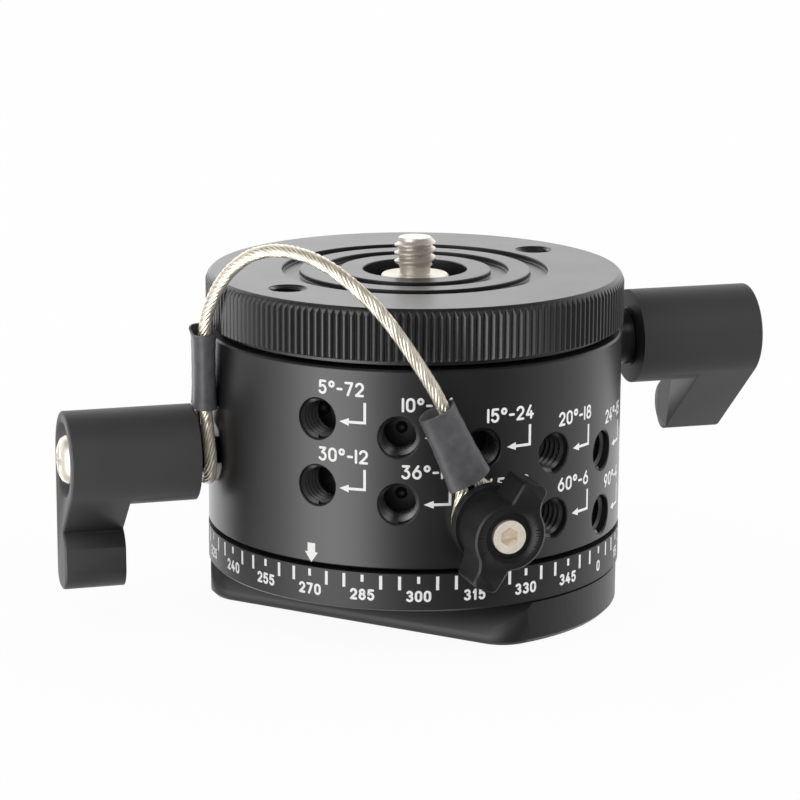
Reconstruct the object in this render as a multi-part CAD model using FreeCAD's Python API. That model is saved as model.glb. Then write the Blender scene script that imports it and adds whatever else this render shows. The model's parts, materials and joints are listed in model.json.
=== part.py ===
"""Panoramic tripod head: an indexing rotator with ten click-stop rings.

Row frame: origin on the rotation axis at the foot's bottom face, +Z up, +X along the dovetail.
All sizes are in millimetres.  Each function returns one separate piece in its place.

How it works: the foot, spindle, index drum and scale ring stand still.  The housing turns round
the drum, and a sprung pin in the plunger drops into the drum's dimples.  The lower lever presses a
plug on the drum, to lock the housing.  The platform turns freely in the top of the housing, and
the upper lever presses a coned plug into its V groove, to lock it.
"""
import FreeCAD
import Part
import os
import math

V = FreeCAD.Vector
Z_AXIS = V(0, 0, 1)

# ---- clearances ----------------------------------------------------------------------------------
RUN = 0.05            # radial running fit of a shaft in its hole
SLACK = 0.3           # gap between curved faces that pass each other
SHADOW = 0.2          # thin joint line between the foot and the scale ring
RIM_GAP = 0.4         # gap between a screwed ring and the wall round it
BURIED = 1.0          # how far a thread is drawn inside the part that it starts in

# ---- threads, as plain walls ---------------------------------------------------------------------
M2_5_R = 1.25
M4_R = 2.0
M4_CORE_R = 1.65
M5_CORE_R = 2.1
M6_CORE_R = 2.5
TRIPOD_CORE_R = 3.97  # 3/8"-16 UNC tap drill
CAMERA_R = 3.175      # 1/4"-20 UNC crest

# ---- walls and steps, from the axis outwards -----------------------------------------------------
SHAFT_R = 6.0
BUSH_WALL = 1.45
BUSH_LIP = 2.0
RETAINER_LIP = 1.2
BOLT_HEAD_R = 5.0
BOLT_ROOM = 2.4       # round the bolt's head, inside the platform's neck
NECK_WALL = 3.6
RING_NUT_W = 4.0
CARRIER_WALL = 5.2
CARRIER_ROOM = 1.7    # between the carrier and the drum's cavity
DRUM_WALL = 3.0
HOUSING_WALL = 6.3
WEB_ROOM = 0.5        # between the housing's web and the drum's cavity
WEB_ROOT = 1.8        # wall that joins the web to the housing
RING_LEDGE = 2.35     # step of the drum that centres the scale ring
RING_PROUD = 0.05
KNURL_PROUD = 0.2
FOOT_SHY = 0.2
CAP_STEP = 1.3        # undercut below the knurl
FACE_EDGE = 1.5       # sloping edge round the platform's face

# ---- heights, from the foot upwards --------------------------------------------------------------
FOOT_H = 6.3
FLANGE_T = 3.5
RING_H = 5.92
RING_GAP = 0.58       # open line between the scale ring and the housing
DRUM_FLOOR_T = 13.1
THRUST_T = 0.6
CARRIER_FLOOR_T = 4.0
BUSH_FLANGE_T = 0.6
AXIAL_PLAY = 0.05
RETAINER_T = 2.0
BOLT_HEAD_H = 4.0
HOLE_EDGE = 3.96      # lowest plunger hole above the housing's bottom
HOLE_STEP_Z = 2.0     # each detent ring lies this far under the last
DRUM_RIM = 1.34       # drum above its highest dimples
DRUM_LAP = 2.7        # drum rim round the housing's web
WEB_T = 3.2
SLIP_RING_T = 0.5
RING_NUT_T = 2.9
JOURNAL_DEPTH = 6.12
CAP_GAP = 0.38        # running gap between the housing and the platform
CAP_STEP_H = 0.85
KNURL_H = 7.16
KNURL_RUN_OUT = 0.35  # upper bevel over the knurl
FACE_RISE = 0.57
RECESS_DEPTH = 3.48
STUD_PLATE_T = 5.0

# ---- foot: 38 mm dovetail ------------------------------------------------------------------------
FOOT_HALF_W = 19.0
FOOT_CORNER_R = 6.0
LIP_LOW = 0.7         # height of the bottom edge's rounding
LIP_TOP = 1.8         # top of the vertical land, where the 45 degree flank starts
FOOT_SCREW_X = 19.0
FOOT_SCREW_Y = 8.0
FOOT_SCREW_HEAD_R = 3.9
FOOT_SCREW_HEAD_SINK = 0.3
FOOT_SCREW_BITE = 7.0
FOOT_SCREW_HEX_DEPTH = 1.5
DOWEL_R = 1.5
DOWEL_INSET = 1.3     # from the drum's wall to the dowel's middle
DOWEL_BITE = 4.0
DOWEL_END_GAP = 0.2

# ---- spindle -------------------------------------------------------------------------------------
BOSS_R = 9.0
SOCKET_DEPTH = 9.0
FLANGE_R = 13.5
BOLT_DEPTH = 10.6
BOLT_END_GAP = 0.8
BOLT_HEX_AF = 4.0
BOLT_HEX_DEPTH = 2.2

# ---- scale ring and index drum -------------------------------------------------------------------
RING_LAND = 1.0       # how far the ring's foot is set back
RING_EDGE = 0.3
DIMPLE_BALL_R = 1.1
DIMPLE_DEPTH = 0.5
STOPS_UPPER = (72, 36, 24, 18, 15)    # stops per turn, in the upper row of holes
STOPS_LOWER = (12, 10, 8, 6, 4)
HOLE_FIRST_DEG = 272.2                # azimuth of the first column of plunger holes
HOLE_STEP_DEG = 22.25

# ---- housing -------------------------------------------------------------------------------------
HOUSING_EDGE = 0.3
PLUNGER_MOUTH_R = 3.22
SEAT_DEPTH = 0.4      # flat seats for the levers, cut into the round wall
SEAT_R = 4.7

# ---- bearing between spindle and housing ---------------------------------------------------------
THRUST_INSET = 0.6    # the thrust washer is this much smaller than the carrier
CARRIER_SCREW_COUNT = 6
CARRIER_HEAD_R = 2.25
CARRIER_HEAD_H = 2.5
CARRIER_HEAD_SINK = 0.1
CARRIER_SCREW_BITE = 2.8
CARRIER_HEX_AF = 2.0
CARRIER_HEX_DEPTH = 1.3

# ---- platform ------------------------------------------------------------------------------------
KNURL_EDGE = 0.5
KNURL_BEVEL = 0.55
GROOVES = ((20.4, 17.67), (14.36, 11.61))   # outer and inner radius of each groove in the top face
GROOVE_DEPTH = 0.8
PLATE_LEDGE = 0.6     # ledge in the bore that the stud plate sits on
TOP_HOLE_INSET = 5.6  # the two M5 holes, from the edge of the face
TOP_HOLE_DEG = 69.7
TOP_HOLE_MOUTH_R = 3.0
V_GROOVE_ABOVE = 2.05  # middle of the V groove over the journal's bottom
V_GROOVE_DEPTH = 1.0
V_GROOVE_FLAT = 0.4   # half width of the groove's bottom
SPANNER_SLOT_W = 2.2
SPANNER_SLOT_DEPTH = 1.0

# ---- camera stud ---------------------------------------------------------------------------------
STUD_PROUD = 4.92     # over the platform's face
STUD_THREAD_LEN = 4.0
STUD_THREAD_EDGE = 0.3
STUD_TIP = 0.7
STUD_NECK_R = 2.35
STUD_FLANGE_R = 5.2
STUD_FLANGE_H = 2.65
STUD_FLANGE_EDGE = 0.2
STUD_SHANK_R = 3.0
STUD_SHANK_SHY = 0.5
SPANNER_HOLE_R = 0.8
SPANNER_HOLE_OUT = 1.4
SPANNER_HOLE_DEPTH = 2.0

# ---- clamping levers, laid out along their own axis ----------------------------------------------
LOWER_DEG = 225.0
LOWER_ABOVE = 12.2    # axis over the housing's bottom
LOWER_TURN = 0.0
UPPER_DEG = 45.0
UPPER_TURN = 50.0
HUB_R = 7.35
LEVER_BORE_DEPTH = 8.3
LEVER_WEB_T = 4.0
POCKET_DEPTH = 7.5
POCKET_WALL = 1.55
BLADE_W = 9.4
BLADE_REACH = 21.3
TIP_ROUND = 2.6
TIP_LOW_Y = -3.6
LOBE_CORNER = 3.6
LOBE_ARC = (1.05, -1.1)          # from the reach
LOBE_SIDE_Y = -0.1
LOBE_ROOT = (14.6, -0.2)
BLADE_BEND = (13.1, -0.95)
BLADE_WAIST = (12.0, -2.3)
LEVER_EDGE = 0.35
LEVER_GAP = 0.3       # between the stud's collar face and the lever
STEM_R = 2.9
STEM_LEN = 3.0
ROD_LEN = 3.0
INSERT_R = 4.45
INSERT_LEN = 7.8
LEVER_SPRING_R = 2.85
LEVER_SPRING_WIRE = 0.35
LEVER_SPRING_TURNS = 4
LEVER_SPRING_TURN = 25.0         # where its wire starts
LEVER_SPRING_LEN = 5.7
SCREW_HEAD_R = 3.7
SCREW_HEAD_H = 2.5
SCREW_HEAD_DOME = (1.4, 0.5, 0.45, 1.2)     # flat top's inset, shoulder's inset, its drop, side's drop
SCREW_BITE = 4.0
CROSS_W = 1.1
CROSS_LEN = 4.4
CROSS_DEPTH = 1.3
WASHER_COUNT = 2
WASHER_T = 1.6
LOWER_PLUG_GAP = 0.35
UPPER_PLUG_GAP = 0.55
UPPER_PLUG_TIP_R = 0.6

# ---- plunger -------------------------------------------------------------------------------------
PLUNGER_COLUMN = 2    # it stands in the third hole of the lower row
SHANK_SHY = 1.3       # the shank ends this far from the drum
COLLAR_GAP = 3.8      # between the housing and the collar, for the tether's eye
COLLAR_R = 6.0
COLLAR_T = 1.8
KNOB_LEN = 7.0
KNOB_NEAR = (0.13, 4.93)         # front view of one wing: x across, y along
KNOB_TIP_NEAR = (2.17, 8.12)
KNOB_TIP_FAR = (6.15, 6.63)
KNOB_HOLLOW = (4.85, 4.85)
KNOB_WAIST = (4.7, 2.85)
KNOB_HUB_SIDE = (4.55, -2.35)
KNOB_ROOT_REACH = 6.9            # corners nearer to the axis than this are roots, the others tips
KNOB_TIP_ROUND = 0.9
KNOB_ROOT_ROUND = 0.6
KNOB_EDGE = 0.3
KNOB_RECESS_WALL = 0.4           # the recess is this much wider than the boss
KNOB_RECESS_DEPTH = 1.0
REAR_BOSS_R = 3.3
REAR_BOSS_SHORT = 1.1
PRELOAD_R = 2.45
PRELOAD_LEN = 5.1
PRELOAD_BELOW = 0.5
HEX_SOCKET_AF = 2.5
HEX_DEPTH = 1.8
PIN_R = 1.0
PIN_CLEAR = 0.35      # pin's tip over the drum, with the plunger backed off
PIN_LEN = 3.95
PIN_FLANGE_R = 1.5
PIN_FLANGE_T = 1.0
PIN_TAIL_R = 0.65
PIN_TAIL_LEN = 2.4
DETENT_SPRING_R = 1.2
DETENT_SPRING_WIRE = 0.2
DETENT_SPRING_TURNS = 7

# ---- tether: wire rope with an eye, a ferrule and a shrink sleeve at each end --------------------
ROPE_R = 1.0
EYE_PLAY = 0.35       # between the rope and the stem that it holds
EYE_OUT = 1.37        # rope's middle over the housing's wall
EYE_LEAN = 0.04       # rise of the eye's plane away from the housing, per mm of its length
EYE_NECK = 2.2        # straight rope between the eye's bend and the ferrule
EYE_BEND_R = 4.0
STRAND_OFFSET = 1.1   # each strand's distance from the sleeve's middle
SLEEVE_LEN = 12.1
SLEEVE_W = 5.2
SLEEVE_T = 3.0
SLEEVE_WALL = 0.35
SLEEVE_MOUTH = 1.3    # the ferrule sits this far inside each mouth
SLEEVE_CLEAR = 0.4    # between a sleeve and the collar or hub beside it
FERRULE_T = 2.2
FERRULE_W = 4.4
PLUNGER_EYE_DEG = 25.0
LEVER_EYE_DEG = -10.0
ROPE_LEAD = 3.4       # straight run of rope out of each ferrule
# The rope's route between the two ferrules, from the plunger's end to the lever's.
ROPE_POINTS = (
    (17.9, -30.4, 43.4),
    (15.9, -31.6, 47.0),
    (13.4, -32.4, 50.5),
    (10.5, -32.9, 53.5),
    (7.1, -32.9, 55.8),
    (3.4, -32.2, 57.5),
    (-0.4, -31.1, 58.4),
    (-4.4, -30.1, 58.7),
    (-8.5, -29.5, 58.4),
    (-12.5, -29.3, 56.9),
    (-16.0, -29.2, 53.8),
    (-18.4, -28.5, 50.6),
)

# ---- radii that follow ---------------------------------------------------------------------------
BUSH_R = SHAFT_R + RUN + BUSH_WALL
BUSH_FLANGE_R = BUSH_R + BUSH_LIP
RETAINER_R = SHAFT_R + RETAINER_LIP
NECK_BORE_R = BOLT_HEAD_R + BOLT_ROOM
NECK_R = NECK_BORE_R + NECK_WALL
RING_NUT_R = NECK_R + RING_NUT_W
CARRIER_CAVITY_R = RING_NUT_R + RIM_GAP
CARRIER_R = CARRIER_CAVITY_R + CARRIER_WALL
CARRIER_SCREW_PCR = CARRIER_CAVITY_R + CARRIER_WALL / 2
DRUM_CAVITY_R = CARRIER_R + CARRIER_ROOM
DRUM_R = DRUM_CAVITY_R + DRUM_WALL
DOWEL_X = DRUM_R - DOWEL_INSET
WEB_R = DRUM_CAVITY_R - WEB_ROOM
JOURNAL_R = WEB_R - WEB_ROOT
BORE_R = DRUM_R + SLACK
RING_INNER_R = DRUM_R + RING_LEDGE
HOUSING_R = BORE_R + HOUSING_WALL
RING_R = HOUSING_R + RING_PROUD
FOOT_R = HOUSING_R - FOOT_SHY
KNURL_R = HOUSING_R + KNURL_PROUD
CAP_STEP_R = HOUSING_R - CAP_STEP
FACE_R = KNURL_R - FACE_EDGE
TOP_HOLE_R = FACE_R - TOP_HOLE_INSET
RECESS_R = NECK_BORE_R + PLATE_LEDGE
POCKET_R = HUB_R - POCKET_WALL
KNOB_RECESS_R = REAR_BOSS_R + KNOB_RECESS_WALL
EYE_R = STEM_R + EYE_PLAY + ROPE_R    # rope centre round the pin that it holds

# ---- heights that follow -------------------------------------------------------------------------
RING_TOP = FOOT_H + RING_H
HOUSING_BOTTOM = RING_TOP + RING_GAP
HOLE_LOW_Z = HOUSING_BOTTOM + HOLE_EDGE
HOLE_TOP_Z = HOLE_LOW_Z + (len(STOPS_UPPER + STOPS_LOWER) - 1) * HOLE_STEP_Z
DRUM_FLOOR_TOP = FOOT_H + DRUM_FLOOR_T
DRUM_TOP = HOLE_TOP_Z + DRUM_RIM
CARRIER_BOTTOM = DRUM_FLOOR_TOP + THRUST_T
CARRIER_FLOOR_TOP = CARRIER_BOTTOM + CARRIER_FLOOR_T
SHAFT_TOP = CARRIER_FLOOR_TOP + BUSH_FLANGE_T + AXIAL_PLAY
WEB_BOTTOM = DRUM_TOP - DRUM_LAP
WEB_TOP = WEB_BOTTOM + WEB_T
RING_NUT_TOP = WEB_BOTTOM - SLIP_RING_T
NECK_BOTTOM = RING_NUT_TOP - RING_NUT_T
JOURNAL_BOTTOM = WEB_TOP + SLIP_RING_T
HOUSING_TOP = WEB_TOP + JOURNAL_DEPTH
CAP_UNDERSIDE = HOUSING_TOP + CAP_GAP
KNURL_BOTTOM = CAP_UNDERSIDE + CAP_STEP_H
KNURL_TOP = KNURL_BOTTOM + KNURL_H
FACE_Z = KNURL_TOP + FACE_RISE
RECESS_FLOOR = FACE_Z - RECESS_DEPTH
PLATE_BOTTOM = RECESS_FLOOR - STUD_PLATE_T
STUD_TOP = FACE_Z + STUD_PROUD
STUD_THREAD_BOTTOM = STUD_TOP - STUD_THREAD_LEN
STUD_FLANGE_TOP = RECESS_FLOOR + STUD_FLANGE_H
LOWER_Z = HOUSING_BOTTOM + LOWER_ABOVE
UPPER_Z = JOURNAL_BOTTOM + V_GROOVE_ABOVE
PLUNGER_DEG = HOLE_FIRST_DEG + PLUNGER_COLUMN * HOLE_STEP_DEG
PLUNGER_Z = HOLE_TOP_Z - (len(STOPS_UPPER) + PLUNGER_COLUMN) * HOLE_STEP_Z

# ---- distances from the axis along a lever or the plunger ----------------------------------------
SEAT_S = HOUSING_R - SEAT_DEPTH
STEM_IN = HOUSING_R
ROD_IN = STEM_IN - ROD_LEN
INSERT_IN = STEM_IN + STEM_LEN
INSERT_OUT = INSERT_IN + INSERT_LEN
LEVER_IN = INSERT_IN + LEVER_GAP
LEVER_WEB_IN = LEVER_IN + LEVER_BORE_DEPTH
POCKET_FLOOR = LEVER_WEB_IN + LEVER_WEB_T
LEVER_OUT = POCKET_FLOOR + POCKET_DEPTH
SCREW_HEAD_IN = POCKET_FLOOR + LEVER_SPRING_LEN
SHANK_IN = DRUM_R + SHANK_SHY
COLLAR_IN = HOUSING_R + COLLAR_GAP
KNOB_IN = COLLAR_IN + COLLAR_T
KNOB_OUT = KNOB_IN + KNOB_LEN
PRELOAD_OUT = KNOB_OUT - PRELOAD_BELOW
PRELOAD_IN = PRELOAD_OUT - PRELOAD_LEN
PIN_TIP = DRUM_R + PIN_CLEAR
PIN_SHOULDER = PIN_TIP + PIN_LEN
EYE_CENTRE_S = HOUSING_R + EYE_OUT
PLUNGER_EYE_REACH = COLLAR_R + SLEEVE_CLEAR
LEVER_EYE_REACH = HUB_R + SLEEVE_CLEAR


# ---- shared shapes -------------------------------------------------------------------------------
def turned(profile):
    """Solid of revolution about Z from (radius, height) corners."""
    corners = [V(r, 0, z) for r, z in profile]
    face = Part.Face(Part.makePolygon(corners + corners[:1]))
    return face.revolve(V(0, 0, 0), Z_AXIS, 360)


def rod(radius, low, high):
    return Part.makeCylinder(radius, high - low, V(0, 0, low))


def tube(outer, inner, low, high):
    return rod(outer, low, high).cut(rod(inner, low - 1, high + 1))


def cone(r_low, r_high, low, high):
    return Part.makeCone(r_low, r_high, high - low, V(0, 0, low))


def outwards(shape, azimuth, height):
    """Lay a shape made along +Z on the radial line at an azimuth: its z becomes the distance s."""
    shape = shape.copy()
    shape.rotate(V(0, 0, 0), V(0, 1, 0), 90)
    shape.rotate(V(0, 0, 0), Z_AXIS, azimuth)
    shape.translate(V(0, 0, height))
    return shape


def hex_prism(across_flats, low, high):
    corner_r = across_flats / math.sqrt(3)
    corners = [V(corner_r * math.cos(math.radians(a)), corner_r * math.sin(math.radians(a)), low)
               for a in range(0, 360, 60)]
    face = Part.Face(Part.makePolygon(corners + corners[:1]))
    return face.extrude(V(0, 0, high - low))


def cross_recess(low, high):
    arms = Part.makeBox(CROSS_LEN, CROSS_W, high - low, V(-CROSS_LEN / 2, -CROSS_W / 2, low))
    other = Part.makeBox(CROSS_W, CROSS_LEN, high - low, V(-CROSS_W / 2, -CROSS_LEN / 2, low))
    return arms.fuse(other)


def coil_spring(mean_r, wire_r, turns, low, high):
    """Round-wire helix whose wire just reaches both ends."""
    height = high - low - 2 * wire_r
    helix = Part.makeHelix(height / turns, height, mean_r)
    helix.translate(V(0, 0, low + wire_r))
    section = Part.Wire(Part.makeCircle(wire_r, V(mean_r, 0, low + wire_r), V(0, 1, 0)))
    return Part.Wire(helix).makePipeShell([section], True, True)


def hole_places():
    """Azimuth, height and stop count of each of the ten plunger holes."""
    places = []
    for index, stops in enumerate(STOPS_UPPER + STOPS_LOWER):
        column = index % len(STOPS_UPPER)
        places.append((HOLE_FIRST_DEG + column * HOLE_STEP_DEG, HOLE_TOP_Z - index * HOLE_STEP_Z, stops))
    return places


# ---- base ----------------------------------------------------------------------------------------
def foot_screw_places():
    return [V(sx * FOOT_SCREW_X, sy * FOOT_SCREW_Y, 0) for sx in (-1, 1) for sy in (-1, 1)]


def foot_screw(play=0.0, head_play=0.0):
    """Countersunk screw along Z; play widens it to the hole that takes it."""
    head_low = FOOT_SCREW_HEAD_SINK
    head_h = FOOT_SCREW_HEAD_R - M4_R
    head = cone(FOOT_SCREW_HEAD_R + head_play, M4_R + head_play, head_low, head_low + head_h)
    shank = rod(M4_R + play, head_low, FOOT_H)
    return head.fuse(shank)


def dowel_places():
    return [V(-DOWEL_X, 0, 0), V(DOWEL_X, 0, 0)]


def foot_flank(side):
    """What the 45 degree flank takes off one side of the foot."""
    flank = FOOT_H - LIP_TOP
    corners = [V(-2 * FOOT_R, side * FOOT_HALF_W, LIP_TOP),
               V(-2 * FOOT_R, side * (FOOT_HALF_W - 2 * flank), LIP_TOP + 2 * flank),
               V(-2 * FOOT_R, side * 2 * FOOT_R, LIP_TOP + 2 * flank),
               V(-2 * FOOT_R, side * 2 * FOOT_R, LIP_TOP)]
    return Part.Face(Part.makePolygon(corners + corners[:1])).extrude(V(4 * FOOT_R, 0, 0))


def foot_plate():
    slab = Part.makeBox(4 * FOOT_R, 2 * FOOT_HALF_W, FOOT_H, V(-2 * FOOT_R, -FOOT_HALF_W, 0))
    plate = rod(FOOT_R, 0, FOOT_H).common(slab)
    uprights = [e for e in plate.Edges if e.BoundBox.ZLength > FOOT_H - 0.01
                and abs(abs(e.BoundBox.YMin) - FOOT_HALF_W) < 0.01]
    plate = plate.makeFillet(FOOT_CORNER_R, uprights)
    plate = plate.makeChamfer(LIP_LOW, [e for e in plate.Edges if e.BoundBox.ZMax < 0.01])
    plate = plate.cut(foot_flank(1)).cut(foot_flank(-1)).cut(rod(BOSS_R, -1, FOOT_H + 1))
    for place in foot_screw_places():
        hole = foot_screw(RUN, RUN).fuse(rod(FOOT_SCREW_HEAD_R + RUN, -1, FOOT_SCREW_HEAD_SINK))
        hole.translate(place)
        plate = plate.cut(hole)
    for place in dowel_places():
        pin_hole = rod(DOWEL_R, LIP_TOP, FOOT_H + 1)
        pin_hole.translate(place)
        plate = plate.cut(pin_hole)
    return plate


def foot_screws():
    """Four countersunk screws that hold the foot under the drum."""
    screws = []
    for place in foot_screw_places():
        screw = foot_screw().fuse(rod(M4_CORE_R, FOOT_H - BURIED, FOOT_H + FOOT_SCREW_BITE))
        socket = hex_prism(HEX_SOCKET_AF, -1, FOOT_SCREW_HEAD_SINK + FOOT_SCREW_HEX_DEPTH)
        screw = screw.cut(socket)
        screw.translate(place)
        screws.append(screw)
    return Part.makeCompound(screws)


def dowel_pins():
    pins = []
    for place in dowel_places():
        pin = rod(DOWEL_R, LIP_TOP + DOWEL_END_GAP, FOOT_H + DOWEL_BITE)
        pin.translate(place)
        pins.append(pin)
    return Part.makeCompound(pins)


def spindle():
    body = turned([(0, 0), (BOSS_R, 0), (BOSS_R, FOOT_H), (FLANGE_R, FOOT_H),
                   (FLANGE_R, FOOT_H + FLANGE_T), (SHAFT_R, FOOT_H + FLANGE_T), (SHAFT_R, SHAFT_TOP),
                   (0, SHAFT_TOP)])
    body = body.cut(rod(TRIPOD_CORE_R, -1, SOCKET_DEPTH))
    return body.cut(rod(M6_CORE_R, SHAFT_TOP - BOLT_DEPTH, SHAFT_TOP + 1))


def scale_ring():
    foot_r = RING_R - RING_LAND
    return turned([(RING_INNER_R, FOOT_H), (foot_r, FOOT_H), (foot_r, FOOT_H + SHADOW),
                   (RING_R - RING_EDGE, FOOT_H + SHADOW), (RING_R, FOOT_H + SHADOW + RING_EDGE),
                   (RING_R, RING_TOP), (RING_INNER_R, RING_TOP)])


def index_drum():
    flange_r = RING_INNER_R - RUN
    drum = turned([(FLANGE_R, FOOT_H), (flange_r, FOOT_H), (flange_r, RING_TOP), (DRUM_R, RING_TOP),
                   (DRUM_R, DRUM_TOP), (DRUM_CAVITY_R, DRUM_TOP), (DRUM_CAVITY_R, DRUM_FLOOR_TOP),
                   (SHAFT_R + 2 * SLACK, DRUM_FLOOR_TOP), (SHAFT_R + 2 * SLACK, FOOT_H + FLANGE_T),
                   (FLANGE_R, FOOT_H + FLANGE_T)])
    cutters = []
    ball_centre = DRUM_R + DIMPLE_BALL_R - DIMPLE_DEPTH
    for azimuth, height, stops in hole_places():
        for step in range(stops):
            angle = math.radians(azimuth + step * 360.0 / stops)
            centre = V(ball_centre * math.cos(angle), ball_centre * math.sin(angle), height)
            cutters.append(Part.makeSphere(DIMPLE_BALL_R, centre))
    for place in foot_screw_places():
        tapped = rod(M4_CORE_R + RUN, FOOT_H - 1, FOOT_H + FOOT_SCREW_BITE + BURIED)
        tapped.translate(place)
        cutters.append(tapped)
    for place in dowel_places():
        pin_hole = rod(DOWEL_R, FOOT_H - 1, FOOT_H + DOWEL_BITE + DOWEL_END_GAP)
        pin_hole.translate(place)
        cutters.append(pin_hole)
    return drum.cut(cutters)


def lower_thrust_washer():
    return tube(CARRIER_R - THRUST_INSET, BUSH_R + SLACK, DRUM_FLOOR_TOP, CARRIER_BOTTOM)


def retaining_washer():
    return tube(RETAINER_R, M6_CORE_R + 2 * SLACK, SHAFT_TOP, SHAFT_TOP + RETAINER_T)


def spindle_bolt():
    head_low = SHAFT_TOP + RETAINER_T
    head_top = head_low + BOLT_HEAD_H
    bolt = rod(M6_CORE_R - RUN, SHAFT_TOP - BOLT_DEPTH + BOLT_END_GAP, head_low)
    bolt = bolt.fuse(rod(BOLT_HEAD_R, head_low, head_top))
    return bolt.cut(hex_prism(BOLT_HEX_AF, head_top - BOLT_HEX_DEPTH, head_top + 1))


# ---- housing -------------------------------------------------------------------------------------
def lever_seat(azimuth, height, depth_to):
    """Flat seat and threaded hole for a lever, as one cutter."""
    cutter = rod(SEAT_R, SEAT_S, HOUSING_R + 2).fuse(rod(M5_CORE_R, depth_to, HOUSING_R + 1))
    return outwards(cutter, azimuth, height)


def housing():
    journal_bore = JOURNAL_R + RUN
    neck_bore = NECK_R + RUN
    edge = HOUSING_EDGE
    ceiling = DRUM_TOP + SLACK
    body = turned([(BORE_R, HOUSING_BOTTOM), (HOUSING_R - edge, HOUSING_BOTTOM),
                   (HOUSING_R, HOUSING_BOTTOM + edge), (HOUSING_R, HOUSING_TOP - edge),
                   (HOUSING_R - edge, HOUSING_TOP), (journal_bore, HOUSING_TOP), (journal_bore, WEB_TOP),
                   (neck_bore, WEB_TOP), (neck_bore, WEB_BOTTOM), (WEB_R, WEB_BOTTOM), (WEB_R, ceiling),
                   (BORE_R, ceiling)])
    cutters = []
    hole_r = M6_CORE_R + RUN
    mouth = PLUNGER_MOUTH_R - hole_r
    for azimuth, height, stops in hole_places():
        hole = rod(hole_r, BORE_R - 2, HOUSING_R + 2)
        hole = hole.fuse(cone(hole_r, PLUNGER_MOUTH_R + mouth, HOUSING_R - mouth, HOUSING_R + mouth))
        cutters.append(outwards(hole, azimuth, height))
    cutters.append(lever_seat(LOWER_DEG, LOWER_Z, BORE_R - 2))
    cutters.append(lever_seat(UPPER_DEG, UPPER_Z, JOURNAL_R - 2))
    for place in carrier_screw_places():
        tapped = rod(M2_5_R + RUN, WEB_BOTTOM - 1, WEB_BOTTOM + CARRIER_SCREW_BITE + CARRIER_HEAD_SINK)
        tapped.translate(place)
        cutters.append(tapped)
    return body.cut(cutters)


def carrier_screw_places():
    places = []
    for index in range(CARRIER_SCREW_COUNT):
        angle = math.radians(index * 360.0 / CARRIER_SCREW_COUNT)
        places.append(V(CARRIER_SCREW_PCR * math.cos(angle), CARRIER_SCREW_PCR * math.sin(angle), 0))
    return places


def bearing_carrier():
    body = turned([(BUSH_R, CARRIER_BOTTOM), (CARRIER_R, CARRIER_BOTTOM), (CARRIER_R, WEB_BOTTOM),
                   (CARRIER_CAVITY_R, WEB_BOTTOM), (CARRIER_CAVITY_R, CARRIER_FLOOR_TOP),
                   (BUSH_R, CARRIER_FLOOR_TOP)])
    for place in carrier_screw_places():
        hole = rod(M2_5_R + RUN, CARRIER_BOTTOM - 1, WEB_BOTTOM + 1)
        hole = hole.fuse(rod(CARRIER_HEAD_R + RUN, CARRIER_BOTTOM - 1, CARRIER_BOTTOM + CARRIER_HEAD_H))
        hole.translate(place)
        body = body.cut(hole)
    return body


def carrier_screws():
    """Cap screws that hold the bearing carrier under the housing's web."""
    screws = []
    head_top = CARRIER_BOTTOM + CARRIER_HEAD_H
    for place in carrier_screw_places():
        screw = rod(CARRIER_HEAD_R, CARRIER_BOTTOM + CARRIER_HEAD_SINK, head_top)
        screw = screw.fuse(rod(M2_5_R, head_top - BURIED, WEB_BOTTOM + CARRIER_SCREW_BITE))
        screw = screw.cut(hex_prism(CARRIER_HEX_AF, CARRIER_BOTTOM - 1, CARRIER_BOTTOM + CARRIER_HEX_DEPTH))
        screw.translate(place)
        screws.append(screw)
    return Part.makeCompound(screws)


def spindle_bush():
    inner = SHAFT_R + RUN
    return turned([(inner, CARRIER_BOTTOM), (BUSH_R, CARRIER_BOTTOM), (BUSH_R, CARRIER_FLOOR_TOP),
                   (BUSH_FLANGE_R, CARRIER_FLOOR_TOP),
                   (BUSH_FLANGE_R, CARRIER_FLOOR_TOP + BUSH_FLANGE_T),
                   (inner, CARRIER_FLOOR_TOP + BUSH_FLANGE_T)])


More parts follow.
